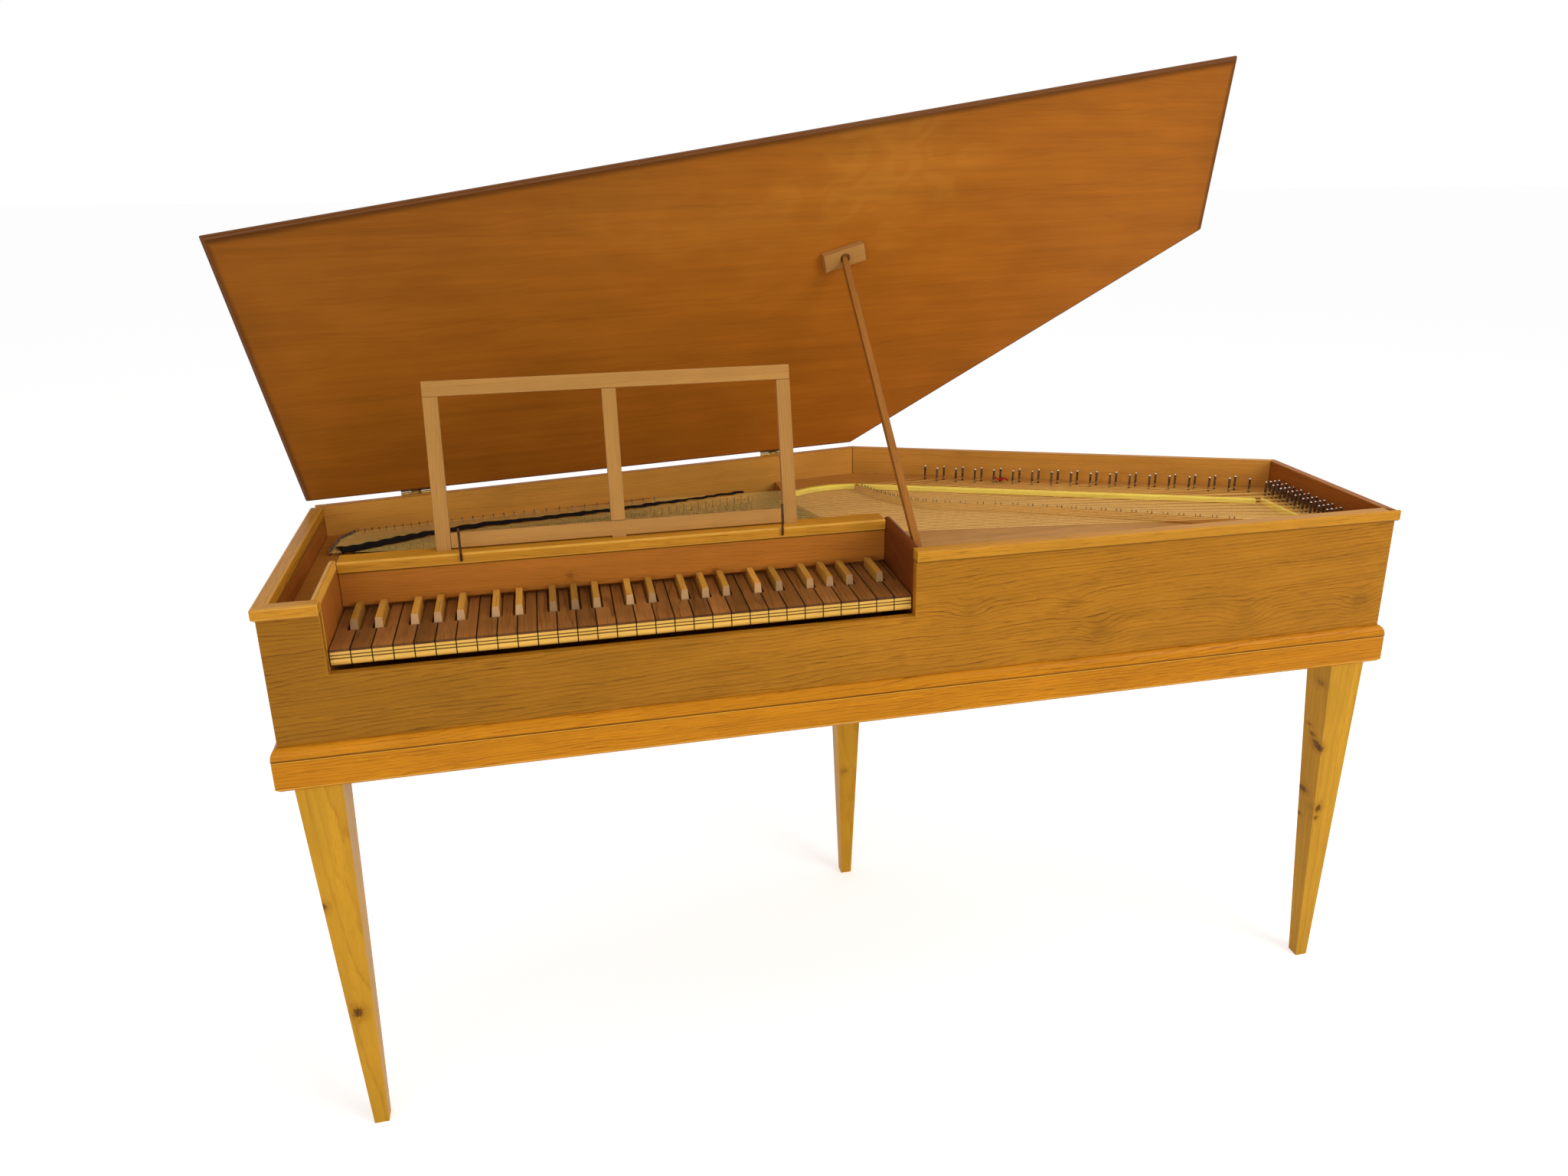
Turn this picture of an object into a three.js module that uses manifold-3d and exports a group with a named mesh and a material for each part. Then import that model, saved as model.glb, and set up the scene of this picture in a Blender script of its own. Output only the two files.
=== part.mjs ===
// Fretted clavichord, five-sided case on a three-legged stand, lid propped on its stick.
// Millimetres, +Z up. Inside this file X runs along the front from its left end, Y runs
// back from the front face and Z is the height over the floor.

import * as THREE from "three";
import { mergeVertices } from "three/addons/utils/BufferGeometryUtils.js";
import Module from "manifold-3d";

const wasm = await Module();
wasm.setup();

// Case
const caseLength = 1446;
const leftDepth = 392;
const rightDepth = 275;
const kinkX = 818;
const kinkDepth = 527;
const caseHeight = 170;
const wall = 12;
const bottomThickness = 12;
const capHeight = 16;
const capOverhang = 4;
const capInnerLip = 1.2;
const capQuirk = 3;
const seam = 0.3;
const overrun = 5;
const bury = 0.2;

// Stand
const standHeight = 557;
const apronHeight = 39;
const apronThickness = 22;
const apronOverhang = 8;
const apronChamfer = 4;
const mouldingHeight = 16;
const legTop = 52;
const legFoot = 18;
const legTenonHeight = 36;
const legTopSetback = 24.5;
const legFootSetback = 10;
const leftLegTop = 37;
const leftLegFoot = 46;
const rightLegTopInset = 40.5;
const rightLegFootInset = 38;
const rearLegBeforeKink = 46;
const rearLegInset = 141;
const crossRailWidth = 40;
const crossRailPlay = 1.2;

// Keyboard
const naturalCount = 30;
const firstPlayedCount = 24;
const playedKeyCount = 12;
const naturalPitch = 23;
const keyGap = 0.6;
const keywellSideGap = 1;
const keywellLeft = 66;
const keywellFloor = 83;
const keyFrontSetback = 1;
const leverBottom = 89.6;
const leverHeight = 15;
const coverThickness = 3;
const headLength = 51;
const arcadeThickness = 3;
const arcadeDrop = 2;
const coverLip = 0.8;
const sharpSetback = 1;
const sharpWidth = 9.6;
const sharpLength = 62;
const sharpHeight = 11.4;
const sharpFrontSlope = 3;
const balanceY = 205;
const balanceRailWidth = 18;
const balanceRailCrown = 1.8;
const balancePinRadius = 1.25;
const balancePinHeight = 22;
const mortisePlay = 0.35;
const mortiseSlope = 0.95;
const crankStart = 17;
const tailWidth = 7.6;
const tangentWidth = 4.4;
const tangentThickness = 1.2;
const keyDipDegrees = 1.5;
const tailLength = 28;
const slipWidth = 2;
const slipLength = 10;
const slipPlay = 0.6;
const combTooth = 10;
const combBack = 16;
const combHeight = 18;
const tailRestFront = 14;

// Cheeks, nameboard and its cap
const cheekThickness = 12;
const nameboardFace = 134;
const nameboardThickness = 10;
const nameboardBottom = 112;
const nameboardCapLip = 3;
const nameboardCapDepth = 30;

// Sound and stringing
const stringDrop = 40;
const stringRadius = 0.35;
const pairSpread = 2.3;
const pinPlay = 0.15;
const pairCount = 35;
const unfrettedKeyCount = 19;
const soundboardDrop = 52;
const soundboardThickness = 4;
const plankDrop = 43;
const plankThickness = 30;
const plankWidth = 60;
const rightPlankWidth = 42;
const beadWidth = 8;
const beadHeight = 9;
const beadShort = 12;
const beadHookRadius = 134;
const beadHookDegrees = 63;
const trebleSpineInset = 33.4;
const trebleWallInset = 85;
const trebleWallRun = 50;
const bridgeWidth = 9;
const bridgeTopWidth = 4;
const bridgeEndRun = 16;
const tuningPinRadius = 1.7;
const tuningPinTopRadius = 1.5;
const tuningPinHeight = 23;
const tuningPinPitch = 8.2;
const rightPlankPairCount = 18;
const pinColumnCount = 4;
const firstPinInset = 9.5;
const pinRowsFront = 84;
const pinRowsRearInset = 46;
const pinColumnStep = 1;
const rearRowNear = 24;
const rearRowFar = 35.5;
const rearPinsLeft = 104;
const rearPinsRight = 58;
const hitchPinRadius = 0.9;
const hitchStagger = 3.6;
const hitchPinHeight = 8;
const hitchDrop = 44;
const hitchThickness = 13;
const hitchMargin = 12;
const clothHeight = 5;
const clothWideHalf = 8;
const clothThinHalf = 2.5;
const clothBeforeTangent = 14;
const bellyThickness = 12;
const bellyFromCheek = 15;
const bellyBeforeKink = 111;
const bellyRearInset = 102;
const plankPlay = 0.6;
const plankSpinePlay = 1.2;
const boardPlay = 0.9;
const beadPlay = 1.2;

// Lid, hinges and stick
const lidThickness = 9;
const lidOverhang = 10;
const lidGap = 1;
const lidEdgeRound = 3;
const lidDegrees = 70;
const hingeOffset = 3.4;
const hingeRise = 0.5;
const hingeRadius = 2.6;
const hingePinRadius = 1.2;
const hingeLength = 42;
const hingeLeafHeight = 20;
const hingeLeafThickness = 1.6;
const hingePlaces = { left: 137, right: 690 };
const knuckleShares = [1 / 3, 2 / 3];
const socketAlong = 760;
const socketUp = 339;
const socketLength = 64;
const socketWidth = 27;
const socketThickness = 12;
const socketTiltDegrees = 17;
const socketRadius = 7.5;
const socketDepth = 7;
const stickWidth = 9;
const stickTipWidth = 6;
const stickTipLength = 22;
const stickTipGap = 2;
const stickFootY = 20;
const stickFootDrop = 38;
const stickHeel = 5;
const stickPinRadius = 1.8;

// Music desk and page pins
const deskLeft = 181;
const deskWidth = 459;
const deskRise = 208;
const deskLeanDegrees = 12;
const deskThickness = 8;
const stileWidth = 18;
const deskRailWidth = 19;
const deskMiddleShare = 0.49;
const deskFootDepth = 14;
const deskY = 151;
const deskMortisePlay = 0.4;
const pagePinRadius = 1.3;
const pagePinLength = 43;
const pagePinFoot = 9;
const pagePinStandoff = 2;
const pagePinPlaces = [211, 616];

// Where things lie along their own run, as shares
const tangentShares = [[0, -0.016], [0.26, 0.1474], [0.572, 0.4508], [1, 0.8151]];
const bridgeShares = [[0, 0.7389], [0.39, 0.3217], [0.593, 0.094], [0.8, 0.0191], [1, -0.0159]];
const hitchShares = [
  [0, -0.0536], [0.38, -0.0448], [0.57, -0.0202], [0.63, 0.0346],
  [0.75, 0.1662], [0.87, 0.3382], [0.95, 0.4855], [1, 0.5708],
];
const bassLeftShare = 0.7612;
const bassRightShare = 0.3989;

// Finishes
const pine = finish(0xb87a2c, 0.55);
const standPine = finish(0xc98a26, 0.5);
const capWood = finish(0xc48c38, 0.5);
const lidWood = finish(0xa4682a, 0.5);
const deskWood = finish(0xb58a5a, 0.65);
const keyWood = finish(0xb98d55, 0.6);
const spruce = finish(0xc9a25c, 0.6);
const beech = finish(0x9c6b35, 0.6);
const brightWood = finish(0xe0c45a, 0.4);
const cheekWood = finish(0x7a4020, 0.5);
const darkSteel = finish(0x3a3532, 0.5, 0.8);
const brass = finish(0xb9964a, 0.35, 0.9);
const blackCloth = finish(0x16130f, 0.95);

function finish(color, roughness, metalness = 0) {
  return new THREE.MeshStandardMaterial({ color, roughness, metalness });
}

// Plain geometry helpers

const radians = THREE.MathUtils.degToRad;
const point = (x, y) => new THREE.Vector2(x, y);
const lineY = (from, to, x) => from.y + (to.y - from.y) * (x - from.x) / (to.x - from.x);

function shapeOf(points, holes = []) {
  const shape = new THREE.Shape(points);
  shape.holes = holes.map((hole) => new THREE.Path(hole));
  return shape;
}

// A plan outline raised from one height to another.
function prism(points, low, high, holes = []) {
  const options = { depth: high - low, bevelEnabled: false };
  return new THREE.ExtrudeGeometry(shapeOf(points, holes), options).translate(0, 0, low);
}

// A profile drawn in Y and Z, run along X.
function runAlongX(profile, from, to) {
  const options = { depth: to - from, bevelEnabled: false };
  const turn = new THREE.Matrix4().makeBasis(
    new THREE.Vector3(0, 1, 0), new THREE.Vector3(0, 0, 1), new THREE.Vector3(1, 0, 0));
  return new THREE.ExtrudeGeometry(shapeOf(profile), options).applyMatrix4(turn).translate(from, 0, 0);
}

function block(x0, x1, y0, y1, z0, z1) {
  const box = new THREE.BoxGeometry(x1 - x0, y1 - y0, z1 - z0);
  return box.translate((x0 + x1) / 2, (y0 + y1) / 2, (z0 + z1) / 2);
}

function rod(x, y, low, high, radius, topRadius, sides) {
  const pin = new THREE.CylinderGeometry(topRadius, radius, high - low, sides);
  return pin.rotateX(Math.PI / 2).translate(x, y, (low + high) / 2);
}

function positionsOnly(geometry) {
  const bare = geometry.index ? geometry.toNonIndexed() : geometry.clone();
  for (const name of Object.keys(bare.attributes)) {
    if (name !== "position") bare.deleteAttribute(name);
  }
  bare.clearGroups();
  return bare;
}

function solid(geometry) {
  const merged = mergeVertices(positionsOnly(geometry), bury / 1000);
  return new wasm.Manifold(new wasm.Mesh({
    numProp: 3,
    vertProperties: new Float32Array(merged.attributes.position.array),
    triVerts: new Uint32Array(merged.index.array),
  }));
}

function geometryOf(body) {
  const mesh = body.getMesh();
  const geometry = new THREE.BufferGeometry();
  geometry.setAttribute("position", new THREE.BufferAttribute(mesh.vertProperties, 3));
  geometry.setIndex(new THREE.BufferAttribute(mesh.triVerts, 1));
  return geometry.toNonIndexed();
}

function joined(geometries) {
  return geometryOf(geometries.map(solid).reduce((whole, next) => whole.add(next)));
}

function cut(geometry, cutters) {
  return geometryOf(cutters.map(solid).reduce((whole, next) => whole.subtract(next), solid(geometry)));
}

function piece(name, geometry, material) {
  if (!geometry.attributes.normal) geometry.computeVertexNormals();
  const mesh = new THREE.Mesh(geometry, material);
  mesh.name = name;
  return mesh;
}

// A value read off a list of [share, value] pairs by straight lines between them.
function along(table, share) {
  let index = 1;
  while (index < table.length - 1 && table[index][0] < share) index += 1;
  const [fromShare, from] = table[index - 1];
  const [toShare, to] = table[index];
  return from + (to - from) * (share - fromShare) / (toShare - fromShare);
}

// Strips that follow the case outline, each mitred to its neighbours. A profile point is
// [distance outwards from the outline, height].

const frontLeft = point(0, 0);
const frontRight = point(caseLength, 0);
const rightRear = point(caseLength, rightDepth);
const kink = point(kinkX, kinkDepth);
const leftRear = point(0, leftDepth);
const outline = [frontLeft, frontRight, rightRear, kink, leftRear];

function outwards(from, to) {
  const run = to.clone().sub(from).normalize();
  return point(run.y, -run.x);
}

function mitre(before, after) {
  return before.clone().add(after).divideScalar(1 + before.dot(after));
}

function strip(path, closed, index, profile) {
  const count = path.length;
  const from = path[index];
  const to = path[(index + 1) % count];
  const normal = outwards(from, to);
  const run = to.clone().sub(from).normalize();
  const hasBefore = closed || index > 0;
  const hasAfter = closed || index + 2 < count;
  const before = hasBefore ? outwards(path[(index + count - 1) % count], from) : normal;
  const after = hasAfter ? outwards(to, path[(index + 2) % count]) : normal;
  const startMitre = mitre(before, normal);
  const endMitre = mitre(normal, after);
  const startGap = hasBefore ? seam / 2 : 0;
  const endGap = hasAfter ? seam / 2 : 0;
  const flat = profile.map(([out, high]) => point(out, high));
  if (THREE.ShapeUtils.isClockWise(flat)) flat.reverse();
  const ring = (origin, direction, shift) => flat.map((spot) => {
    const place = origin.clone().addScaledVector(direction, spot.x).addScaledVector(run, shift);
    return new THREE.Vector3(place.x, place.y, spot.y);
  });
  return loft(ring(from, startMitre, startGap), ring(to, endMitre, -endGap), flat);
}

// A closed body between two rings of as many points, whose ends have the given flat form.
function loft(start, end, flat) {
  const corners = [];
  const size = flat.length;
  for (const [a, b, c] of THREE.ShapeUtils.triangulateShape(flat, [])) {
    corners.push(start[a], start[b], start[c], end[c], end[b], end[a]);
  }
  for (let i = 0; i < size; i += 1) {
    const j = (i + 1) % size;
    corners.push(start[i], end[i], end[j], start[i], end[j], start[j]);
  }
  return new THREE.BufferGeometry().setFromPoints(corners);
}

function inset(distance, closedPath = outline) {
  return closedPath.map((corner, i) => {
    const count = closedPath.length;
    const before = outwards(closedPath[(i + count - 1) % count], corner);
    const after = outwards(corner, closedPath[(i + 1) % count]);
    return corner.clone().addScaledVector(mitre(before, after), -distance);
  });
}

const board = (depth, low, high) => [[-depth, low], [0, low], [0, high], [-depth, high]];

// Heights
const floorOfCase = standHeight;
const rim = floorOfCase + caseHeight;
const wallTop = rim - capHeight;
const stringZ = rim - stringDrop;
const leverLow = floorOfCase + leverBottom;
const leverTop = leverLow + leverHeight;
const naturalTop = leverTop + coverThickness;
const insideFloor = floorOfCase + bottomThickness;

// Plan places shared by several pieces
const keywellRight = keywellLeft + naturalCount * naturalPitch + 2 * keywellSideGap;
const keyFront = wall + keyFrontSetback + arcadeThickness;
const inner = inset(wall);
const innerRoom = inset(wall + seam);
const spineInner = (x) => lineY(inner[4], inner[3], x);
const angledInner = (x) => lineY(inner[3], inner[2], x);

// A place along the keyboard, and one along the case past its rear corner.
const overKeys = (share) => keywellLeft + (keywellRight - keywellLeft) * share;
const pastKink = (share) => kinkX + (caseLength - kinkX) * share;

// The fan of strings: share 0 is the longest bass pair, share 1 the shortest treble pair,
// which lies a set way in front of the spine at its hitch and of the angled wall past the kink.
const bassLeft = point(0, leftDepth * bassLeftShare);
const bassRight = point(caseLength, rightDepth * bassRightShare);
const trebleHitchX = overKeys(along(hitchShares, 1));
const trebleHitch = point(trebleHitchX, lineY(leftRear, kink, trebleHitchX) - trebleSpineInset);
const trebleBridgeX = kinkX + trebleWallRun;
const trebleBridge = point(trebleBridgeX, lineY(kink, rightRear, trebleBridgeX) - trebleWallInset);

function stringY(share, x) {
  const bass = lineY(bassLeft, bassRight, x);
  return bass + (lineY(trebleHitch, trebleBridge, x) - bass) * share;
}

function pairOfKey(key) {
  if (key < unfrettedKeyCount) return key;
  return Math.min(unfrettedKeyCount + Math.floor((key - unfrettedKeyCount) / 2), pairCount - 1);
}

const pairShare = (pair) => pair / (pairCount - 1);

// Case

function makeCase(group) {
  const walls = {
    front_wall: [0, wallTop],
    right_wall: [1, rim],
    angled_wall: [2, rim],
    spine: [3, rim],
    left_wall: [4, wallTop],
  };
  for (const [name, [index, top]] of Object.entries(walls)) {
    let geometry = strip(outline, true, index, board(wall, floorOfCase, top));
    if (name === "front_wall") {
      geometry = cut(geometry, [block(keywellLeft, keywellRight, -overrun, wall + overrun,
        floorOfCase + keywellFloor, wallTop + overrun)]);
    }
    group.add(piece(name, geometry, pine));
  }
  group.add(piece("bottom_board", prism(innerRoom, floorOfCase, insideFloor), pine));
  group.add(piece("left_cheek", cheek(keywellLeft - cheekThickness, keywellLeft), cheekWood));
  const pinLeft = keywellRight + cheekThickness - overrun;
  const stickPin = new THREE.CylinderGeometry(stickPinRadius, stickPinRadius, overrun + stickWidth, 12)
    .rotateZ(Math.PI / 2).translate(pinLeft + (overrun + stickWidth) / 2, stickFootY, rim - stickFootDrop);
  group.add(piece("right_cheek", joined([cheek(keywellRight, keywellRight + cheekThickness), stickPin]),
    cheekWood));
  group.add(piece("nameboard", block(keywellLeft + seam, keywellRight - seam, nameboardFace,
    nameboardFace + nameboardThickness, floorOfCase + nameboardBottom, wallTop), pine));
  const boardCap = capProfile(0).map(([out, high]) => point(nameboardFace - out, high));
  const capLength = runAlongX(boardCap, keywellLeft + seam, keywellRight - seam);
  group.add(piece("nameboard_cap", cut(capLength, deskMortises()), capWood));
  const leftPath = [leftRear.clone().setY(spineInner(0) - seam), frontLeft, point(keywellLeft, 0)];
  group.add(piece("cap_left", strip(leftPath, false, 0, capProfile(1)), capWood));
  group.add(piece("cap_front_left", strip(leftPath, false, 1, capProfile(1)), capWood));
  const rightPath = [point(keywellRight, 0), point(caseLength + capOverhang, 0)];
  group.add(piece("cap_front_right", cut(strip(rightPath, false, 0, capProfile(1)),
    [block(caseLength - wall - seam, caseLength + overrun, -seam, wall + overrun, wallTop - overrun,
      rim + overrun)]), capWood));
}

// A rail with a quirk under its front edge and an eased top, 1 for the case, 0 for the nameboard.
function capProfile(onCase) {
  const lip = onCase ? capOverhang : nameboardCapLip;
  const back = onCase ? -(wall + capInnerLip) : lip - nameboardCapDepth;
  return [
    [back, wallTop], [0, wallTop], [lip - capQuirk / 2, wallTop + capQuirk / 2], [lip, wallTop + capQuirk],
    [lip, rim - capQuirk / 2], [lip - capQuirk / 2, rim], [back, rim],
  ];
}

function cheek(x0, x1) {
  const middle = (x0 + x1) / 2;
  const radius = cheekThickness / 2;
  const profile = [point(x0, insideFloor), point(x1, insideFloor)];
  const steps = 6;
  for (let i = 0; i <= steps; i += 1) {
    const turn = Math.PI * i / steps;
    profile.push(point(middle + radius * Math.cos(turn), rim - radius + radius * Math.sin(turn)));
  }
  const back = nameboardFace + nameboardThickness;
  const options = { depth: back - wall - capInnerLip - seam, bevelEnabled: false };
  return new THREE.ExtrudeGeometry(shapeOf(profile), options).rotateX(Math.PI / 2).translate(0, back, 0);
}

// Stand

const rearLeg = [kinkX - rearLegBeforeKink, kinkDepth - rearLegInset];
const legPlaces = {
  leg_front_left: { top: [leftLegTop, legTopSetback], foot: [leftLegFoot, legFootSetback] },
  leg_front_right: {
    top: [caseLength - rightLegTopInset, legTopSetback],
    foot: [caseLength - rightLegFootInset, legFootSetback],
  },
  leg_rear: { top: rearLeg, foot: rearLeg },
};

function makeStand(group) {
  const low = floorOfCase - mouldingHeight - apronHeight;
  const frameTop = floorOfCase - mouldingHeight;
  const lip = apronOverhang;
  const back = lip - apronThickness;
  const apron = (top) => [
    [back, low], [lip - apronChamfer, low], [lip, low + apronChamfer], [lip, top], [back, top],
  ];
  const ovolo = [[back, frameTop], [lip, frameTop]];
  const steps = 4;
  for (let i = 0; i <= steps; i += 1) {
    const turn = Math.PI / 2 * i / steps;
    ovolo.push([lip * Math.cos(turn), frameTop + capQuirk + (mouldingHeight - capQuirk) * Math.sin(turn)]);
  }
  ovolo.push([back, floorOfCase]);
  const names = ["front", "right", "angled", "spine", "left"];
  const backSides = [2, 3];
  names.forEach((name, i) => {
    const top = backSides.includes(i) ? floorOfCase : frameTop;
    group.add(piece(`apron_${name}`, strip(outline, true, i, apron(top)), standPine));
    if (!backSides.includes(i)) {
      group.add(piece(`moulding_${name}`, strip(outline, true, i, ovolo), standPine));
    }
  });
  const railX = [-crossRailWidth / 2, crossRailWidth / 2].map((side) => legPlaces.leg_rear.top[0] + side);
  const railBack = (x) => kinkDepth + (kinkDepth - leftDepth) / kinkX * (x - kinkX) + back - crossRailPlay;
  group.add(piece("cross_rail", prism([
    point(railX[0], -back + seam), point(railX[1], -back + seam),
    point(railX[1], railBack(railX[1])), point(railX[0], railBack(railX[0])),
  ], low, floorOfCase - seam), standPine));
  for (const [name, place] of Object.entries(legPlaces)) {
    group.add(piece(name, leg(place, low, -back + seam), standPine));
  }
}

// A square tapered leg; a corner leg carries a stub that stands up behind the aprons.
function leg({ top, foot }, height, aprons) {
  const square = (half) => [point(-half, -half), point(half, -half), point(half, half), point(-half, half)];
  const ring = ([x, y], width, z) => square(width / 2)
    .map((spot) => new THREE.Vector3(x + spot.x, y + spot.y, z));
  const shaft = orient(loft(ring(top, legTop, height), ring(foot, legFoot, 0), square(legTop)));
  const [x, y] = top;
  if (y > legTop) return shaft;
  const x0 = Math.max(x - legTop / 2, aprons);
  const x1 = Math.min(x + legTop / 2, caseLength - aprons);
  return joined([shaft, block(x0, x1, aprons, y + legTop / 2, height - bury, height + legTenonHeight)]);
}

// Turns a closed body inside out where its faces look inwards.
function orient(geometry) {
  const spots = geometry.attributes.position;
  let volume = 0;
  const [a, b, c] = [new THREE.Vector3(), new THREE.Vector3(), new THREE.Vector3()];
  for (let i = 0; i < spots.count; i += 3) {
    a.fromBufferAttribute(spots, i);
    b.fromBufferAttribute(spots, i + 1);
    c.fromBufferAttribute(spots, i + 2);
    volume += a.dot(b.cross(c));
  }
  if (volume > 0) return geometry;
  const flipped = [];
  for (let i = 0; i < spots.count; i += 3) {
    for (const j of [i, i + 2, i + 1]) flipped.push(new THREE.Vector3().fromBufferAttribute(spots, j));
  }
  return new THREE.BufferGeometry().setFromPoints(flipped);
}

// Keys, from C at 0: each octave has twelve keys over seven naturals.

const octaveSlots = [
  ["C", 0, false], ["C#", 0, true], ["D", 1, false], ["D#", 1, true], ["E", 2, false], ["F", 3, false],
  ["F#", 3, true], ["G", 4, false], ["G#", 4, true], ["A", 5, false], ["A#", 5, true], ["B", 6, false],
];
const naturalsPerOctaveCount = 7;
const slotsLeftOfFCount = 5;
const naturalsLeftOfFCount = 3;
const keyCount = Math.floor(naturalCount / naturalsPerOctaveCount) * 12 + 3;

function keySlot(key) {
  const octave = Math.floor(key / 12);
  const step = key % 12;
  const start = keywellLeft + keywellSideGap + octave * naturalsPerOctaveCount * naturalPitch;
  const split = naturalsLeftOfFCount * naturalPitch;
  const lowPitch = split / slotsLeftOfFCount;
  const highPitch = (naturalsPerOctaveCount * naturalPitch - split) / (12 - slotsLeftOfFCount);
  const left = step < slotsLeftOfFCount ? step * lowPitch : split + (step - slotsLeftOfFCount) * highPitch;
  const width = step < slotsLeftOfFCount ? lowPitch : highPitch;
  const [, natural, isSharp] = octaveSlots[step];
  const last = key === keyCount - 1;
  const headLeft = start + natural * naturalPitch + keyGap / 2;
  return {
    isSharp,
    headLeft,
    headRight: headLeft + naturalPitch - keyGap,
    left: start + left + keyGap / 2,
    right: last ? headLeft + naturalPitch - keyGap : start + left + width - keyGap / 2,
  };
}

function tangentPlace(key) {
  const x = overKeys(along(tangentShares, key / (keyCount - 1)));
  return point(x, stringY(pairShare(pairOfKey(key)), x));
}

function keyGeometry(key, fixed = false) {
  const slot = keySlot(key);
  const tangent = tangentPlace(key);
  const half = tailWidth / 2;
  const pinX = balanceX(key);
  const headBack = keyFront + headLength;
  const crankY = balanceY + crankStart;
  const tailBack = tangent.y + tailLength;
  const tail = [
    point(slot.right, crankY), point(tangent.x + half, tangent.y - tailRestFront),
    point(tangent.x + half, tailBack), point(tangent.x + slipWidth / 2, tailBack),
    point(tangent.x + slipWidth / 2, tailBack + slipLength),
    point(tangent.x - slipWidth / 2, tailBack + slipLength),
    point(tangent.x - slipWidth / 2, tailBack), point(tangent.x - half, tailBack),
    point(tangent.x - half, tangent.y - tailRestFront), point(slot.left, crankY),
  ];
  const mortise = [
    point(pinX - balancePinRadius - mortisePlay, balanceY - balancePinRadius - mortiseSlope),
    point(pinX + balancePinRadius + mortisePlay, balanceY - balancePinRadius - mortiseSlope),
    point(pinX + balancePinRadius + mortisePlay, balanceY + balancePinRadius + mortiseSlope),
    point(pinX - balancePinRadius - mortisePlay, balanceY + balancePinRadius + mortiseSlope),
  ];
  const sharpFront = headBack + sharpSetback;
  const front = slot.isSharp
    ? [point(slot.left, sharpFront), point(slot.right, sharpFront)]
    : headOutline(slot, keyFront, headBack);
  const parts = [prism([...front, ...tail], leverLow, leverTop, fixed ? [] : [mortise])];
  if (slot.isSharp) {
    parts.push(sharpBlock(pinX, sharpFront));
  } else {
    const coverBack = nameboardFace + nameboardThickness;
    const cover = headOutline(slot, keyFront - arcadeThickness - coverLip, headBack);
    parts.push(prism([...cover, point(slot.right, coverBack), point(slot.left, coverBack)],
      leverTop - bury, naturalTop));
    parts.push(block(slot.headLeft, slot.headRight, keyFront - arcadeThickness, keyFront + bury,
      leverLow - arcadeDrop, leverTop - bury / 2));
  }
  const rise = (tangent.y - balanceY) * Math.sin(radians(keyDipDegrees));
  const tangentTop = stringZ - stringRadius - seam - rise;
  parts.push(block(tangent.x - tangentThickness / 2, tangent.x + tangentThickness / 2,
    tangent.y - tangentWidth / 2, tangent.y + tangentWidth / 2, leverTop - bury, tangentTop));
  return joined(parts);
}

// Front and sides of a natural's head, up to where its tail starts; the outline runs on backwards.
function headOutline(slot, front, headBack) {
  const points = [];
  if (slot.left > slot.headLeft) points.push(point(slot.left, headBack), point(slot.headLeft, headBack));
  points.push(point(slot.headLeft, front), point(slot.headRight, front));
  if (slot.right < slot.headRight) points.push(point(slot.headRight, headBack), point(slot.right, headBack));
  return points;
}

function sharpBlock(x, front) {
  const top = naturalTop + sharpHeight;
  const profile = [
    point(front, leverTop - bury), point(front + sharpLength, leverTop - bury),
    point(front + sharpLength, top), point(front + sharpFrontSlope, top), point(front, naturalTop),
  ];
  return runAlongX(profile, x - sharpWidth / 2, x + sharpWidth / 2);
}

function balanceX(key) {
  const slot = keySlot(key);
  return (slot.left + slot.right) / 2;
}

const noteNames = octaveSlots.map(([name]) => name.toLowerCase().replace("#", "_sharp"));

// One octave of separate keys; the others are fixed to the balance rail that carries them.
function makeKeys(group) {
  const half = balanceRailWidth / 2;
  const rail = (crest, x0, x1) => runAlongX([
    point(balanceY - half, insideFloor), point(balanceY + half, insideFloor),
    point(balanceY + half, crest - balanceRailCrown), point(balanceY, crest),
    point(balanceY - half, crest - balanceRailCrown),
  ], x0, x1);
  const playedLeft = keySlot(firstPlayedCount).left - keyGap;
  const playedRight = keySlot(firstPlayedCount + playedKeyCount - 1).right + keyGap;
  const low = leverLow - seam;
  const parts = [
    rail(low, keywellLeft, keywellRight),
    rail(leverLow + bury, keywellLeft, playedLeft),
    rail(leverLow + bury, playedRight, keywellRight),
  ];
  for (let key = 0; key < keyCount; key += 1) {
    const step = key - firstPlayedCount;
    const isPlayed = step >= 0 && step < playedKeyCount;
    const geometry = keyGeometry(key, !isPlayed);
    if (isPlayed) group.add(piece(`key_${noteNames[step]}`, geometry, keyWood));
    else parts.push(geometry);
    parts.push(rod(balanceX(key), balanceY, low - seam, low + balancePinHeight, balancePinRadius,
      balancePinRadius, isPlayed ? 8 : 3));
  }
  group.add(piece("balance_rail", joined(parts), beech));
  group.add(piece("key_rack", keyRack(), beech));
}

// The rack carries the tails and guides the thin slip at the end of each in its own saw cut.
function keyRack() {
  const back = [];
  const rest = [];
  const comb = [];
  const shoulder = (tailWidth + keyGap) / 2;
  const ends = { 0: -shoulder, [keyCount - 1]: shoulder };
  for (let key = 0; key < keyCount; key += 1) {
    const { x, y } = tangentPlace(key);
    const face = y + tailLength + slipPlay;
    const cutBack = face + combTooth;
    const half = slipWidth / 2 + slipPlay;
    comb.push(
      point(x - shoulder, face), point(x - half, face), point(x - half, cutBack),
      point(x + half, cutBack), point(x + half, face), point(x + shoulder, face),
    );
    const side = ends[key] ?? 0;
    back.unshift(point(x + side, y + tailLength + combBack));
    rest.push(point(x + side, y + tailRestFront));
  }
  const restTop = leverLow - seam;
  return joined([
    prism([...rest, ...back], insideFloor, restTop),
    prism([...comb, ...back], restTop - bury, restTop + combHeight),
  ]);
}

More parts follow.
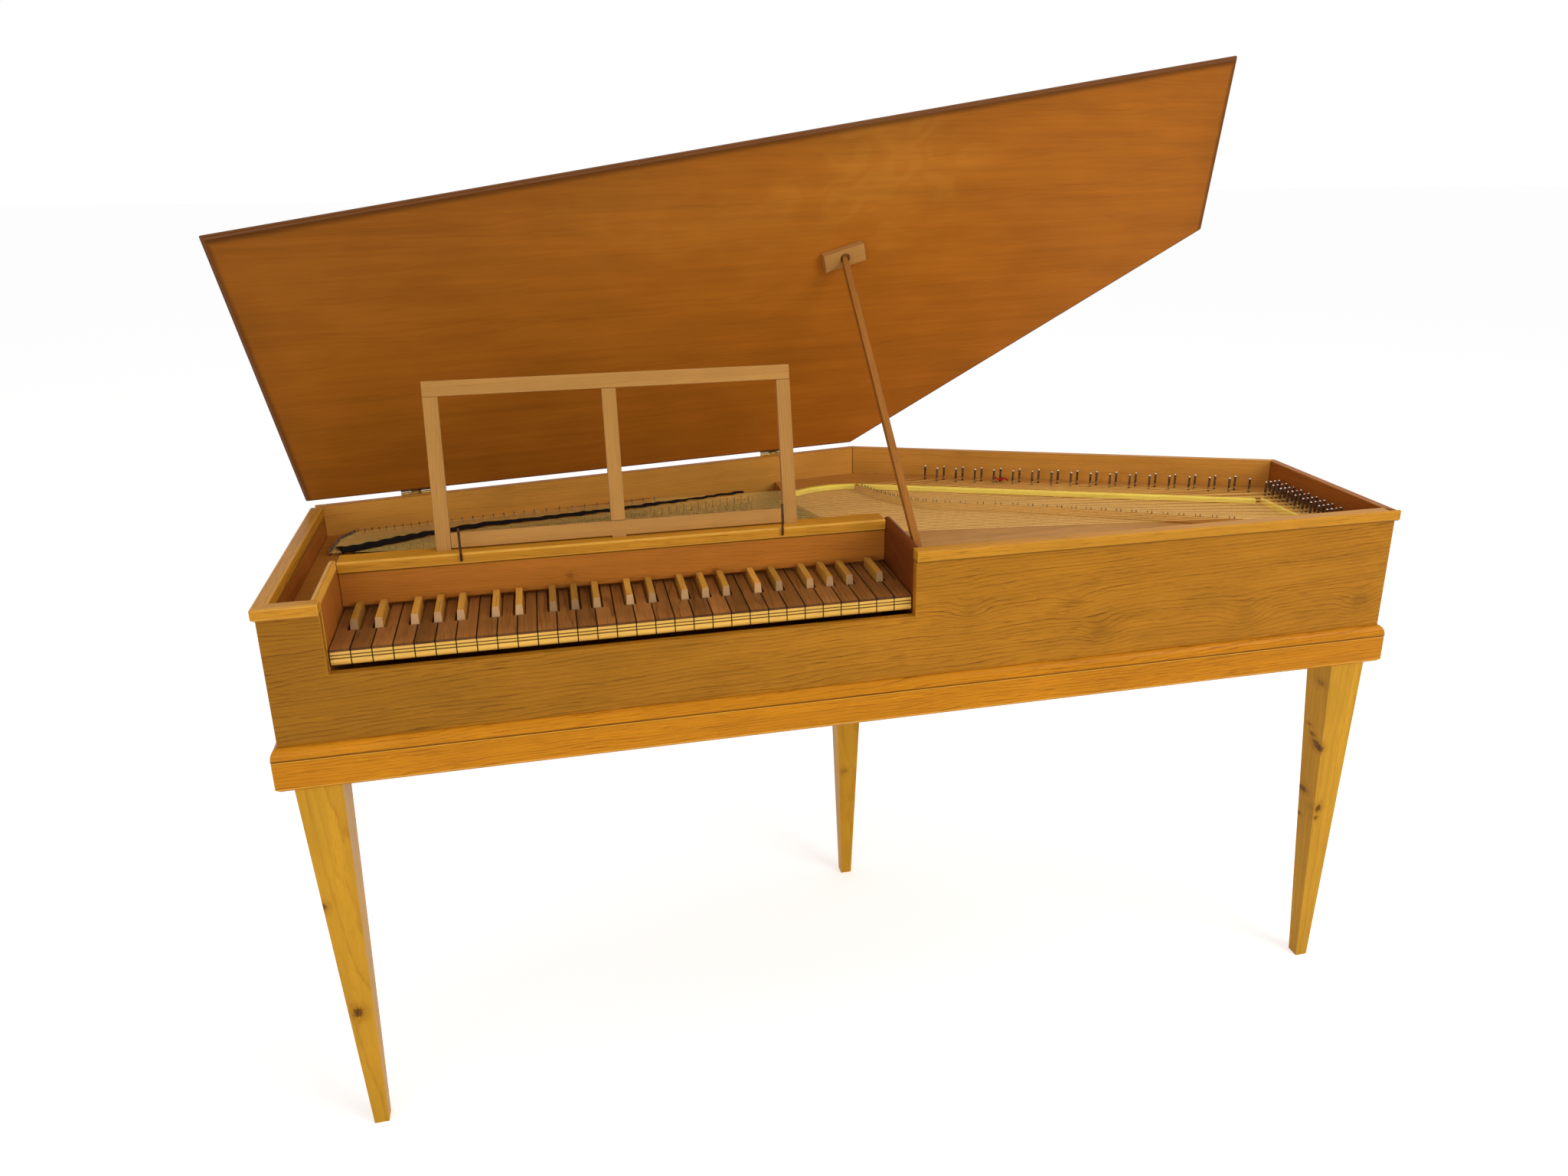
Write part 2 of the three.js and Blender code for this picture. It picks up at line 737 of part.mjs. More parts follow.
// Soundboard, bridge, planks, pins and strings

const bridgeSpots = bridgePath();

function makeSound(group) {
  const boardTop = rim - soundboardDrop;
  const plankTop = rim - plankDrop;
  const frontY = wall + seam;
  const rightX = caseLength - wall - seam;
  const plankLeftX = rightX - rightPlankWidth;
  const front = plankFront(0);
  const hookEnd = front[front.length - 1];
  const boardRear = plankFront(boardPlay);
  const boardEnd = boardRear[boardRear.length - 1];
  const nameboardBack = nameboardFace + nameboardThickness + seam;
  const cheekRight = keywellRight + cheekThickness + seam;
  group.add(piece("soundboard", prism([
    point(cheekRight, frontY), point(plankLeftX - seam, frontY), point(plankLeftX - seam, boardRear[0].y),
    ...boardRear.slice(1, -1), point(boardEnd.x + seam, boardEnd.y - seam),
    point(cheekRight, nameboardBack),
  ], boardTop - soundboardThickness, boardTop), spruce));
  group.add(piece("wrest_plank", joined([prism([
    point(rightX, frontY), point(rightX, angledInner(rightX) - plankPlay),
    point(kinkX, angledInner(kinkX) - plankSpinePlay), point(hookEnd.x, spineInner(hookEnd.x) - plankPlay),
    ...[...front].reverse(), point(plankLeftX, frontY),
  ], plankTop - plankThickness, plankTop), ...tuningPins(plankTop)]), beech));
  const beadPath = plankFront(beadPlay + beadWidth / 2);
  const beadRun = beadPath[1].clone().sub(beadPath[0]).setLength(beadShort);
  beadPath[0].add(beadRun);
  const beadLine = beadPath.map((spot) => new THREE.Vector3(spot.x, spot.y, boardTop + beadHeight / 2));
  group.add(piece("plank_bead", bar(beadLine, barSection(beadWidth, beadWidth, beadHeight)), brightWood));
  const bellyTop = boardTop - soundboardThickness - seam;
  const bellyFrontX = cheekRight + bellyFromCheek;
  const bellyRearX = kinkX - bellyBeforeKink;
  const bellyRearY = kinkDepth - bellyRearInset;
  group.add(piece("belly_rail", prism([
    point(bellyFrontX, nameboardBack), point(bellyFrontX + bellyThickness, nameboardBack),
    point(bellyRearX + bellyThickness, bellyRearY), point(bellyRearX, bellyRearY),
  ], insideFloor, bellyTop), beech));
  const bridgeHeight = stringZ - boardTop;
  const bridgeMiddle = boardTop + bridgeHeight / 2;
  const bridgeLine = bridgeSpots.map((spot) => new THREE.Vector3(spot.x, spot.y, bridgeMiddle));
  const bridge = bar(bridgeLine, barSection(bridgeWidth, bridgeTopWidth, bridgeHeight));
  group.add(piece("bridge_and_strings", joined([bridge, ...strings()]), brass));
}

// Front edge of the rear plank: along the angled wall, then hooking forwards past the kink.
function plankFront(forward) {
  const inward = outwards(rightRear, kink).negate();
  const start = point(caseLength - wall - seam - rightPlankWidth, 0);
  const wallAtStart = angledInner(start.x);
  const offset = (plankWidth + forward) / Math.abs(inward.y);
  start.y = wallAtStart - offset;
  const bendX = kinkX;
  const bend = point(bendX, angledInner(bendX) - offset);
  const points = [start, bend];
  const run = bend.clone().sub(start).normalize();
  const left = point(-run.y, run.x);
  const radius = beadHookRadius - forward;
  const centre = bend.clone().addScaledVector(left, radius);
  const steps = 8;
  for (let i = 1; i <= steps; i += 1) {
    const turn = radians(beadHookDegrees) * i / steps;
    points.push(centre.clone().addScaledVector(left, -radius * Math.cos(turn))
      .addScaledVector(run, radius * Math.sin(turn)));
  }
  return points;
}

function bridgePath() {
  const spots = bridgeShares.map(([share, length]) => {
    const x = pastKink(length);
    return new THREE.Vector3(x, stringY(share, x), 0);
  });
  const lead = (from, next) => from.clone().sub(next).setLength(bridgeEndRun).add(from);
  spots.unshift(lead(spots[0], spots[1]));
  spots.push(lead(spots[spots.length - 1], spots[spots.length - 2]));
  return new THREE.CatmullRomCurve3(spots, false, "centripetal").getSpacedPoints(20);
}

const barSection = (foot, top, height) => [
  point(-foot / 2, -height / 2), point(foot / 2, -height / 2),
  point(top / 2, height / 2), point(-top / 2, height / 2),
];

// An upright bar of one section along a level line of points, its rings mitred at each point.
function bar(line, section) {
  const count = line.length;
  const side = (a, b) => outwards(point(a.x, a.y), point(b.x, b.y));
  const rings = line.map((spot, i) => {
    const before = i > 0 ? side(line[i - 1], spot) : side(spot, line[1]);
    const after = i + 1 < count ? side(spot, line[i + 1]) : before;
    const across = mitre(before, after);
    return section.map((corner) => new THREE.Vector3(
      spot.x + across.x * corner.x, spot.y + across.y * corner.x, spot.z + corner.y));
  });
  const size = section.length;
  const corners = [];
  const last = rings[count - 1];
  for (const [a, b, c] of THREE.ShapeUtils.triangulateShape(section, [])) {
    corners.push(rings[0][a], rings[0][b], rings[0][c], last[c], last[b], last[a]);
  }
  for (let i = 0; i + 1 < count; i += 1) {
    for (let j = 0; j < size; j += 1) {
      const k = (j + 1) % size;
      corners.push(rings[i][j], rings[i + 1][j], rings[i + 1][k]);
      corners.push(rings[i][j], rings[i + 1][k], rings[i][k]);
    }
  }
  return orient(new THREE.BufferGeometry().setFromPoints(corners));
}

// A string runs straight from its hitch pin to the bridge and turns there towards its tuning pin.
function stringRun(pair, side) {
  const share = pairShare(pair);
  const spread = (side - 0.5) * pairSpread;
  const yAt = (x) => stringY(share, x) + spread;
  const startX = overKeys(along(hitchShares, share)) + side * hitchStagger;
  const isRight = pair < rightPlankPairCount;
  const end = isRight ? rightPin(pair, side) : rearPin(pair, side);
  return { startX, yAt, turn: onBridge(yAt), end, behind: isRight ? -1 : 1 };
}

// Where a string's line crosses the middle of the bridge.
function onBridge(yAt) {
  const gaps = bridgeSpots.map((spot) => spot.y - yAt(spot.x));
  const next = gaps.findIndex((gap, i) => i > 0 && gap * gaps[i - 1] <= 0);
  const share = gaps[next - 1] / (gaps[next - 1] - gaps[next]);
  return bridgeSpots[next - 1].clone().lerp(bridgeSpots[next], share);
}

// The bass pairs are tuned in rows of four pins along the right wall, each row stepping back.
function rightPin(pair, side) {
  const place = (pair * 2 + side) % pinColumnCount;
  const row = Math.floor((pair * 2 + side) / pinColumnCount);
  const lastRow = Math.ceil(rightPlankPairCount * 2 / pinColumnCount) - 1;
  const rear = rightDepth - pinRowsRearInset;
  return point(caseLength - wall - rightPlankWidth + firstPinInset + tuningPinPitch * place,
    pinRowsFront + (rear - pinRowsFront) * row / lastRow + pinColumnStep * place);
}

// The other strings are tuned in two staggered rows in front of the angled wall.
function rearPin(pair, side) {
  const count = (pairCount - rightPlankPairCount) * 2 - 1;
  const fromLeft = (pairCount - 1 - pair) * 2 + 1 - side;
  const from = kinkX + rearPinsLeft;
  const to = caseLength - rearPinsRight;
  const x = from + (to - from) * fromLeft / count;
  const slant = Math.hypot(1, (rightDepth - kinkDepth) / (caseLength - kinkX));
  return point(x, angledInner(x) - (side ? rearRowNear : rearRowFar) * slant);
}

// Calls make(its run) for each string.
function forEachString(make) {
  const made = [];
  for (let pair = 0; pair < pairCount; pair += 1) {
    for (const side of [0, 1]) made.push(make(stringRun(pair, side)));
  }
  return made;
}

const loopReach = hitchPinRadius + pinPlay;
const pinReach = stringRadius + pinPlay;
const stringSection = [0, 1, 2].map((corner) => point(stringRadius, 0).rotateAround(point(0, 0),
  Math.PI * (2 * corner / 3 + 1 / 2)));

function strings() {
  return forEachString((run) => {
    const x = run.startX + loopReach;
    const line = [point(x, run.yAt(x)), run.turn, run.end];
    return bar(line.map((spot) => new THREE.Vector3(spot.x, spot.y, stringZ)), stringSection);
  });
}

function tuningPins(plankTop) {
  const aside = tuningPinRadius + pinReach;
  return forEachString(({ end, behind }) => rod(end.x, end.y + behind * aside, plankTop - bury,
    plankTop + tuningPinHeight, tuningPinRadius, tuningPinTopRadius, 5));
}

function hitchPins(railTop) {
  return forEachString((run) => rod(run.startX, run.yAt(run.startX), railTop - bury, railTop + hitchPinHeight,
    hitchPinRadius, hitchPinRadius, 3));
}

function makeHitchRail(group) {
  const top = rim - hitchDrop;
  const edge = hitchShares.map(([share, length]) => {
    const x = overKeys(length) + hitchMargin;
    return point(x, stringY(share, x) - hitchMargin);
  });
  const leftX = wall + seam;
  const cheekLeft = keywellLeft - cheekThickness - seam;
  const endX = edge[edge.length - 1].x;
  group.add(piece("hitch_rail", joined([prism([
    point(leftX, wall + seam), point(cheekLeft, wall + seam),
    point(cheekLeft, nameboardFace + nameboardThickness), ...edge,
    point(endX, spineInner(endX) - seam), point(leftX, spineInner(leftX) - seam),
  ], top - hitchThickness, top), ...hitchPins(top)]), beech));
}

function makeListingCloth(group) {
  const near = [];
  const far = [];
  const low = stringZ + stringRadius + seam;
  const steps = 16;
  for (let i = 0; i <= steps; i += 1) {
    const share = i / steps;
    const key = Math.round(share * (keyCount - 1));
    const place = tangentPlace(key);
    const half = clothWideHalf + (clothThinHalf - clothWideHalf) * share;
    const x = place.x - clothBeforeTangent;
    near.push(point(x + half / 2, stringY(pairShare(pairOfKey(key)), x) - half));
    far.unshift(point(x - half / 2, stringY(pairShare(pairOfKey(key)), x) + half));
  }
  group.add(piece("listing_cloth", prism([...near, ...far], low, low + clothHeight), blackCloth));
}

// Lid with its hinges, socket and stick

const spineRun = kink.clone().sub(leftRear).normalize();
const spineOut = outwards(kink, leftRear);
const hingeOrigin = leftRear.clone().addScaledVector(spineOut, hingeOffset);
const hingeZ = rim + hingeRise;

function lidGroup() {
  const pivot = new THREE.Group();
  pivot.position.set(hingeOrigin.x, hingeOrigin.y, hingeZ);
  const axis = new THREE.Vector3(-spineRun.x, -spineRun.y, 0);
  pivot.quaternion.setFromAxisAngle(axis, radians(lidDegrees));
  const closed = new THREE.Group();
  closed.position.set(-hingeOrigin.x, -hingeOrigin.y, -hingeZ);
  pivot.add(closed);
  return { pivot, closed };
}

// Place on the closed lid, measured along the spine and square to it, towards the front.
function onLid(alongSpine, fromSpine) {
  return leftRear.clone().addScaledVector(spineRun, alongSpine).addScaledVector(spineOut, -fromSpine);
}

function makeLid(group) {
  const { pivot, closed } = lidGroup();
  const low = rim + lidGap;
  closed.add(piece("lid_board", lidBoard(low), lidWood));
  const tilt = Math.atan2(spineRun.y, spineRun.x) - radians(socketTiltDegrees);
  const centre = onLid(socketAlong, socketUp);
  const [halfLength, halfWidth] = [socketLength / 2, socketWidth / 2];
  const rest = block(-halfLength, halfLength, -halfWidth, halfWidth, -socketThickness, 0);
  const bore = rod(0, 0, -socketThickness - overrun, socketDepth - socketThickness, socketRadius,
    socketRadius, 16);
  const socket = cut(rest, [bore]).rotateZ(tilt).translate(centre.x, centre.y, low - seam);
  closed.add(piece("lid_socket", socket, deskWood));
  for (const [side, place] of Object.entries(hingePlaces)) {
    closed.add(piece(`hinge_${side}_lid_leaf`, hingeLeaf(place, true), brass));
    group.add(piece(`hinge_${side}_case_leaf`, hingeLeaf(place, false), brass));
  }
  group.add(pivot);
  pivot.updateMatrixWorld(true);
  const tip = new THREE.Vector3(centre.x, centre.y, low - seam - socketThickness + socketDepth - stickTipGap)
    .applyMatrix4(closed.matrixWorld);
  group.add(piece("lid_stick", stick(tip), deskWood));
}

// The lid follows the case outline, overhanging its front and ends, with its long edges eased.
function lidBoard(low) {
  const grown = [
    point(-lidOverhang, -lidOverhang), point(caseLength + lidOverhang, -lidOverhang),
    point(caseLength + lidOverhang, lineY(kink, rightRear, caseLength + lidOverhang)), kink,
    point(-lidOverhang, lineY(leftRear, kink, -lidOverhang)),
  ];
  const inward = inset(lidEdgeRound, grown);
  const middle = low + lidThickness / 2;
  const half = lidThickness / 2;
  const rings = [
    [inward, -half], [grown, -half + lidEdgeRound], [grown, half - lidEdgeRound], [inward, half],
  ].map(([points, rise]) => points.map((spot) => new THREE.Vector3(spot.x, spot.y, middle + rise)));
  const corners = [];
  for (const [a, b, c] of THREE.ShapeUtils.triangulateShape(inward, [])) {
    corners.push(rings[0][c], rings[0][b], rings[0][a], rings[3][a], rings[3][b], rings[3][c]);
  }
  for (let i = 0; i < 3; i += 1) {
    for (let j = 0; j < grown.length; j += 1) {
      const k = (j + 1) % grown.length;
      corners.push(rings[i][j], rings[i][k], rings[i + 1][k]);
      corners.push(rings[i][j], rings[i + 1][k], rings[i + 1][j]);
    }
  }
  return orient(new THREE.BufferGeometry().setFromPoints(corners));
}

// One leaf of a butt hinge in the closed position: the lid's stands up, the case's hangs down.
function hingeLeaf(place, forLid) {
  const half = hingeLength / 2;
  const first = -half + hingeLength * knuckleShares[0];
  const second = -half + hingeLength * knuckleShares[1];
  const spans = forLid ? [[first, second]] : [[-half, first - seam], [second + seam, half]];
  const barrel = (from, to, radius) => new THREE.CylinderGeometry(radius, radius, to - from, 8)
    .rotateZ(Math.PI / 2).translate((from + to) / 2, 0, 0);
  const near = -hingeOffset + seam;
  const leafTop = forLid ? lidGap - hingeRise + lidThickness - lidEdgeRound : -seam;
  const leafLow = forLid ? seam : -hingeLeafHeight;
  const plates = forLid
    ? [block(first, second, near, near + hingeLeafThickness, leafLow, leafTop),
      block(-half, half, near, near + hingeLeafThickness, hingeRadius + seam, leafTop)]
    : [block(-half, half, near, near + hingeLeafThickness, leafLow, -hingeRadius - seam),
      ...spans.map(([from, to]) => block(from, to, near, near + hingeLeafThickness, leafLow, leafTop))];
  let leaf = joined([...plates, ...spans.map(([from, to]) => barrel(from, to, hingeRadius))]);
  if (forLid) {
    leaf = cut(leaf, [barrel(-half, half, hingePinRadius + seam)]);
  } else {
    leaf = joined([leaf, barrel(-half, half, hingePinRadius)]);
  }
  const centre = onLid(place, 0);
  return leaf.rotateZ(Math.atan2(spineRun.y, spineRun.x))
    .translate(centre.x + spineOut.x * hingeOffset, centre.y + spineOut.y * hingeOffset, hingeZ);
}

// A square stick from its pin on the cheek to the socket, with a tapered tip.
function stick(tip) {
  const foot = new THREE.Vector3(keywellRight + cheekThickness + 2 * seam + stickWidth / 2, stickFootY,
    rim - stickFootDrop);
  const length = foot.distanceTo(tip);
  const square = (half) => [point(-half, -half), point(half, -half), point(half, half), point(-half, half)];
  const ring = (half, z) => square(half).map((spot) => new THREE.Vector3(spot.x, spot.y, z));
  const shoulder = length - stickTipLength;
  const shaft = orient(loft(ring(stickWidth / 2, -stickHeel), ring(stickWidth / 2, shoulder),
    square(stickWidth / 2)));
  const end = orient(loft(ring(stickWidth / 2, shoulder - bury), ring(stickTipWidth / 2, length),
    square(stickWidth / 2)));
  const up = tip.clone().sub(foot).normalize();
  const side = new THREE.Vector3(1, 0, 0).addScaledVector(up, -up.x).normalize();
  const turn = new THREE.Matrix4().makeBasis(side, up.clone().cross(side), up).setPosition(foot);
  const holeRadius = stickPinRadius + seam;
  const hole = new THREE.CylinderGeometry(holeRadius, holeRadius, stickWidth + overrun, 12)
    .rotateZ(Math.PI / 2).translate(foot.x, foot.y, foot.z);
  return cut(joined([shaft, end]).applyMatrix4(turn), [hole]);
}

// Music desk

function deskFrame() {
  const lean = new THREE.Group();
  lean.position.set(deskLeft, deskY, rim);
  lean.rotation.x = -radians(deskLeanDegrees);
  lean.updateMatrixWorld(true);
  return lean;
}

const stilePlaces = {
  left: 0,
  middle: deskWidth * deskMiddleShare - stileWidth / 2,
  right: deskWidth - stileWidth,
};

function deskMortises() {
  const half = deskThickness / 2 + deskMortisePlay;
  const { matrixWorld } = deskFrame();
  return Object.values(stilePlaces).map((x) => block(x - deskMortisePlay, x + stileWidth + deskMortisePlay,
    -half, half, -deskFootDepth - deskMortisePlay, overrun).applyMatrix4(matrixWorld));
}

function makeDesk(group) {
  const lean = deskFrame();
  const half = deskThickness / 2;
  const underTop = deskRise - deskRailWidth - seam;
  const railFoot = half * Math.tan(radians(deskLeanDegrees)) + seam;
  const lowerTop = railFoot + deskRailWidth;
  for (const [side, x] of Object.entries(stilePlaces)) {
    const low = side === "middle" ? lowerTop + seam : -deskFootDepth;
    lean.add(piece(`desk_stile_${side}`, block(x, x + stileWidth, -half, half, low, underTop), deskWood));
  }
  lean.add(piece("desk_top_rail", block(0, deskWidth, -half, half, deskRise - deskRailWidth, deskRise),
    deskWood));
  const { middle, right } = stilePlaces;
  lean.add(piece("desk_lower_rail", joined([
    block(stileWidth + seam, right - seam, -half, half, railFoot, lowerTop),
    block(middle, middle + stileWidth, -half, half, -deskFootDepth, railFoot + bury),
  ]), deskWood));
  group.add(lean);
  const names = ["page_pin_left", "page_pin_right"];
  pagePinPlaces.forEach((x, i) => group.add(piece(names[i], pagePin(x), darkSteel)));
}

// A wire bent at its foot, where it turns in the front edge of the nameboard's cap.
function pagePin(x) {
  const face = nameboardFace - nameboardCapLip;
  const footZ = rim - pagePinFoot;
  const y = face - pagePinStandoff;
  const upright = rod(x, y, footZ - pagePinRadius, footZ + pagePinLength, pagePinRadius, pagePinRadius, 6);
  const foot = new THREE.CylinderGeometry(pagePinRadius, pagePinRadius, pagePinStandoff - seam, 6)
    .translate(x, y + (pagePinStandoff - seam) / 2, footZ);
  return joined([upright, foot]);
}

// Assembly, standing with the middle of its floor plan at the origin

const clavichord = new THREE.Group();
for (const make of [makeStand, makeCase, makeKeys, makeSound, makeHitchRail, makeListingCloth, makeLid,
  makeDesk]) {
  make(clavichord);
}
clavichord.updateMatrixWorld(true);
const extent = new THREE.Box3().setFromObject(clavichord, true);
const centre = extent.getCenter(new THREE.Vector3());
clavichord.position.set(-centre.x, -centre.y, -extent.min.z);

export default clavichord;
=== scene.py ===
"""Looks of a fretted clavichord on its three-legged stand, the lid propped open on a stick."""

import random
from dataclasses import dataclass
from math import copysign, cos, hypot, pi, radians, sin, sqrt, tau

import bmesh
import bpy
import numpy as np
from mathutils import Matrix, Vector


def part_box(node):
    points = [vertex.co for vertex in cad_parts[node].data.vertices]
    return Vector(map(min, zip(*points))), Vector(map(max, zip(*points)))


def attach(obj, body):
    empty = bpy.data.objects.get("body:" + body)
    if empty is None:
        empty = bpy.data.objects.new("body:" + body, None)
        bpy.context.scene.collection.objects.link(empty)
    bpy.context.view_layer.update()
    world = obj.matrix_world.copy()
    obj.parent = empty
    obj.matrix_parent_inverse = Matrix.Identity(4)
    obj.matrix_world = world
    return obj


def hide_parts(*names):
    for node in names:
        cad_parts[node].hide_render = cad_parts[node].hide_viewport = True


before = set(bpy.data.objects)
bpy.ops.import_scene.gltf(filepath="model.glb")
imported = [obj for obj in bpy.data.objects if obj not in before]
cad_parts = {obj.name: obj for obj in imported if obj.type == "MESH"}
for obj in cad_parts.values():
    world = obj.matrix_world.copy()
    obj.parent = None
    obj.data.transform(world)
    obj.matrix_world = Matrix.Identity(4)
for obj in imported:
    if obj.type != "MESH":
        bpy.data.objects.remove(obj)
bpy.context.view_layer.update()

# Places that the scene shares with the solids, in millimetres. X runs along the front
# from the case's left end, Y back from its front face, and Z is the height over the floor.
CASE_LENGTH = 1446
LEFT_DEPTH = 392
RIGHT_DEPTH = 275
KINK = (818, 527)
WALL = 12
SEAM = 0.3
RIM = 727
MOULDING_FOOT = 541
STRING = 687
LEVER_LOW = 646.6
LEVER_TOP = 661.6
NATURAL_TOP = 664.6
INSIDE_FLOOR = 569
RACK_TOP = 664.3
BOARD_TOP = 675
PLANK_TOP = 684
HITCH_TOP = 683
KEYWELL = (66, 758)
NATURAL_PITCH = 23
OCTAVE = 7 * NATURAL_PITCH
LOW_STEPS_WIDTH = 3 * NATURAL_PITCH
LOW_TAIL = LOW_STEPS_WIDTH / 5
HIGH_TAIL = 4 * NATURAL_PITCH / 7
KEY_GAP = 0.6
KEY_FRONT = 16
HEAD_BACK = 67
COVER_BACK = 144
BALANCE = 205
CRANK = 222
KEY_COUNT = 51
PAIR_COUNT = 35
RIGHT_PAIRS = 18
RIGHT_PLANK = 42
REAR_PLANK = 60
UNFRETTED_KEYS = 19
LID_OVERHANG = 10
TANGENT_RUN = [(0, -0.016), (0.26, 0.1474), (0.572, 0.4508), (1, 0.8151)]
BRIDGE_RUN = [(0, 0.7389), (0.39, 0.3217), (0.593, 0.094), (0.8, 0.0191), (1, -0.0159)]
HITCH_RUN = [
    (0, -0.0536), (0.38, -0.0448), (0.57, -0.0202), (0.63, 0.0346),
    (0.75, 0.1662), (0.87, 0.3382), (0.95, 0.4855), (1, 0.5708),
]

UP = Vector((0, 0, 1))
scene = bpy.context.scene
case_corner = Vector((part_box("left_wall")[0].x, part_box("front_wall")[0].y, 0))


def spot(x, y, z):
    """A place in the row frame, in metres, from case millimetres."""
    return case_corner + Vector((x, y, z)) / 1000


def added(name, data):
    """A new object in the scene."""
    made = bpy.data.objects.new(name, data)
    scene.collection.objects.link(made)
    return made


# Shader terms


def maths(operation, turned=False):
    """A method that feeds a term and what follows it to one Math node, turned to have it last."""
    def method(self, *others):
        values = (*others, self) if turned else (self, *others)
        return self.nodes.term(0, "Math", dict(enumerate(values)), operation=operation)
    return method


class Term:
    """A socket of a node tree that takes part in sums through Math nodes."""

    def __init__(self, nodes, socket):
        self.nodes = nodes
        self.socket = socket

    __add__ = maths("ADD")
    __radd__ = maths("ADD", turned=True)
    __sub__ = maths("SUBTRACT")
    __rsub__ = maths("SUBTRACT", turned=True)
    __mul__ = maths("MULTIPLY")
    __rmul__ = maths("MULTIPLY", turned=True)
    __truediv__ = maths("DIVIDE")
    __rtruediv__ = maths("DIVIDE", turned=True)
    floor = maths("FLOOR")
    fraction = maths("FRACT")
    root = maths("SQRT")
    sine = maths("SINE")
    most = maths("MAXIMUM")
    least = maths("MINIMUM")
    size = maths("ABSOLUTE")

    def rise(self, low, high):
        """0 below low and 1 above high, eased between them; falls where low is the higher."""
        ends = {"Value": self, "From Min": low, "From Max": high}
        return self.nodes.term(0, "MapRange", ends, interpolation_type="SMOOTHSTEP")


class Nodes:
    """A node tree in the making."""

    def __init__(self, tree):
        self.tree = tree

    def node(self, kind, values, **settings):
        made = self.tree.nodes.new("ShaderNode" + kind)
        for setting, value in settings.items():
            setattr(made, setting, value)
        for socket, value in values.items():
            self.feed(made.inputs[socket], value)
        return made

    def feed(self, socket, value):
        if isinstance(value, Term):
            self.tree.links.new(value.socket, socket)
        else:
            socket.default_value = value

    def term(self, output, kind, values, **settings):
        """One output of a new node."""
        return Term(self, self.node(kind, values, **settings).outputs[output])

    def place(self):
        return self.term("Object", "TexCoord", {})

    def vector(self, operation, *values):
        output = "Value" if operation == "DOT_PRODUCT" else "Vector"
        return self.term(output, "VectorMath", dict(enumerate(values)), operation=operation)

    def combined(self, x, y, z):
        return self.term(0, "CombineXYZ", {0: x, 1: y, 2: z})

    def parts(self, vector):
        return [Term(self, socket) for socket in self.node("SeparateXYZ", {0: vector}).outputs]

    def noise(self, where, detail=2, roughness=0.5, coloured=False):
        looks = {"Vector": where, "Scale": 1, "Detail": detail, "Roughness": roughness}
        return self.term(1 if coloured else 0, "TexNoise", looks)

    def speckle(self, *waves, detail=3):
        """Noise with so many waves in a metre, the same along each axis or given for X, Y and Z."""
        waves = waves if len(waves) == 3 else waves * 3
        return self.noise(self.vector("MULTIPLY", self.place(), waves), detail=detail)

    def chance(self, value):
        return self.term("Value", "TexWhiteNoise", {"W": value}, noise_dimensions="1D")

    def blend(self, factor, first, second):
        return self.term(2, "Mix", {0: factor, 6: first, 7: second}, data_type="RGBA")

    def dimmed(self, colour, amount):
        """A colour made lighter or darker by one number."""
        start = colour if isinstance(colour, Term) else colour[:3]
        return self.term("Vector", "VectorMath", {0: start, "Scale": amount}, operation="SCALE")

    def seen(self):
        """1 for what the camera sees straight or mirrored, 0 for the light that falls on things."""
        path = self.node("LightPath", {})
        kinds = ("Is Camera Ray", "Is Glossy Ray", "Is Transmission Ray")
        camera, glossy, through = [Term(self, path.outputs[kind]) for kind in kinds]
        return camera.most(glossy).most(through)


class Finish(Nodes):
    """A material in the making: its nodes and the surface that they feed."""

    def __init__(self, name, **constants):
        self.material = bpy.data.materials.new(name)
        self.material.use_nodes = True
        super().__init__(self.material.node_tree)
        self.surface = self.tree.nodes["Principled BSDF"]
        for socket, value in constants.items():
            self.surface.inputs[socket.replace("_", " ")].default_value = value

    def case_axis(self, axis):
        """How far along X, Y or Z a point lies from the case's corner, in millimetres."""
        return self.parts(self.place())[axis] * 1000 - case_corner[axis] * 1000

    def coat(self, colour, roughness, height, depth, strength):
        """Feeds the surface; height is in shares of depth, a length in millimetres."""
        self.feed(self.surface.inputs["Base Color"], colour)
        self.feed(self.surface.inputs["Roughness"], roughness)
        looks = {"Strength": strength, "Distance": depth / 1000, "Height": height}
        self.feed(self.surface.inputs["Normal"], self.term(0, "Bump", looks))
        return self.material


def shade(*tone):
    """A colour as seen, from 0 to 255, in the numbers that a shader takes."""
    seen = [part / 255 for part in tone]
    light = [part / 12.92 if part <= 0.04045 else ((part + 0.055) / 1.055) ** 2.4 for part in seen]
    return (*light, 1)


# Wood


class Grain:
    """How a board was sawn: its own axes, along, across and through, and their origin."""

    def __init__(self, origin, along, across):
        self.origin = Vector(origin)
        self.along = Vector(along).normalized()
        self.through = self.along.cross(Vector(across)).normalized()
        self.across = self.through.cross(self.along)


def grain_of(node):
    """The grain of a plain board, along its longest side."""
    corners = np.array([vertex.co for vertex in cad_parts[node].data.vertices], float)
    middle = corners.mean(0)
    axes = np.linalg.svd(corners - middle, full_matrices=False)[2]
    along, across = [Vector(axis) * (1 if axis[np.abs(axis).argmax()] > 0 else -1) for axis in axes[:2]]
    return Grain(middle, along, across)


@dataclass
class Timber:
    """A kind of wood: its tones, ring width in millimetres and how strongly each thing shows."""

    pale: tuple
    dark: tuple
    ring: float
    lines: float
    streaks: float
    fibres: float
    gloss: float
    flecks: float = 0.3
    sway: float = 9
    fine: float = 0.5
    painted_glints: float = 0.1
    hairs: float = 0.5
    varnish: float = 0.02

    def __post_init__(self):
        self.pale, self.dark = shade(*self.pale), shade(*self.dark)


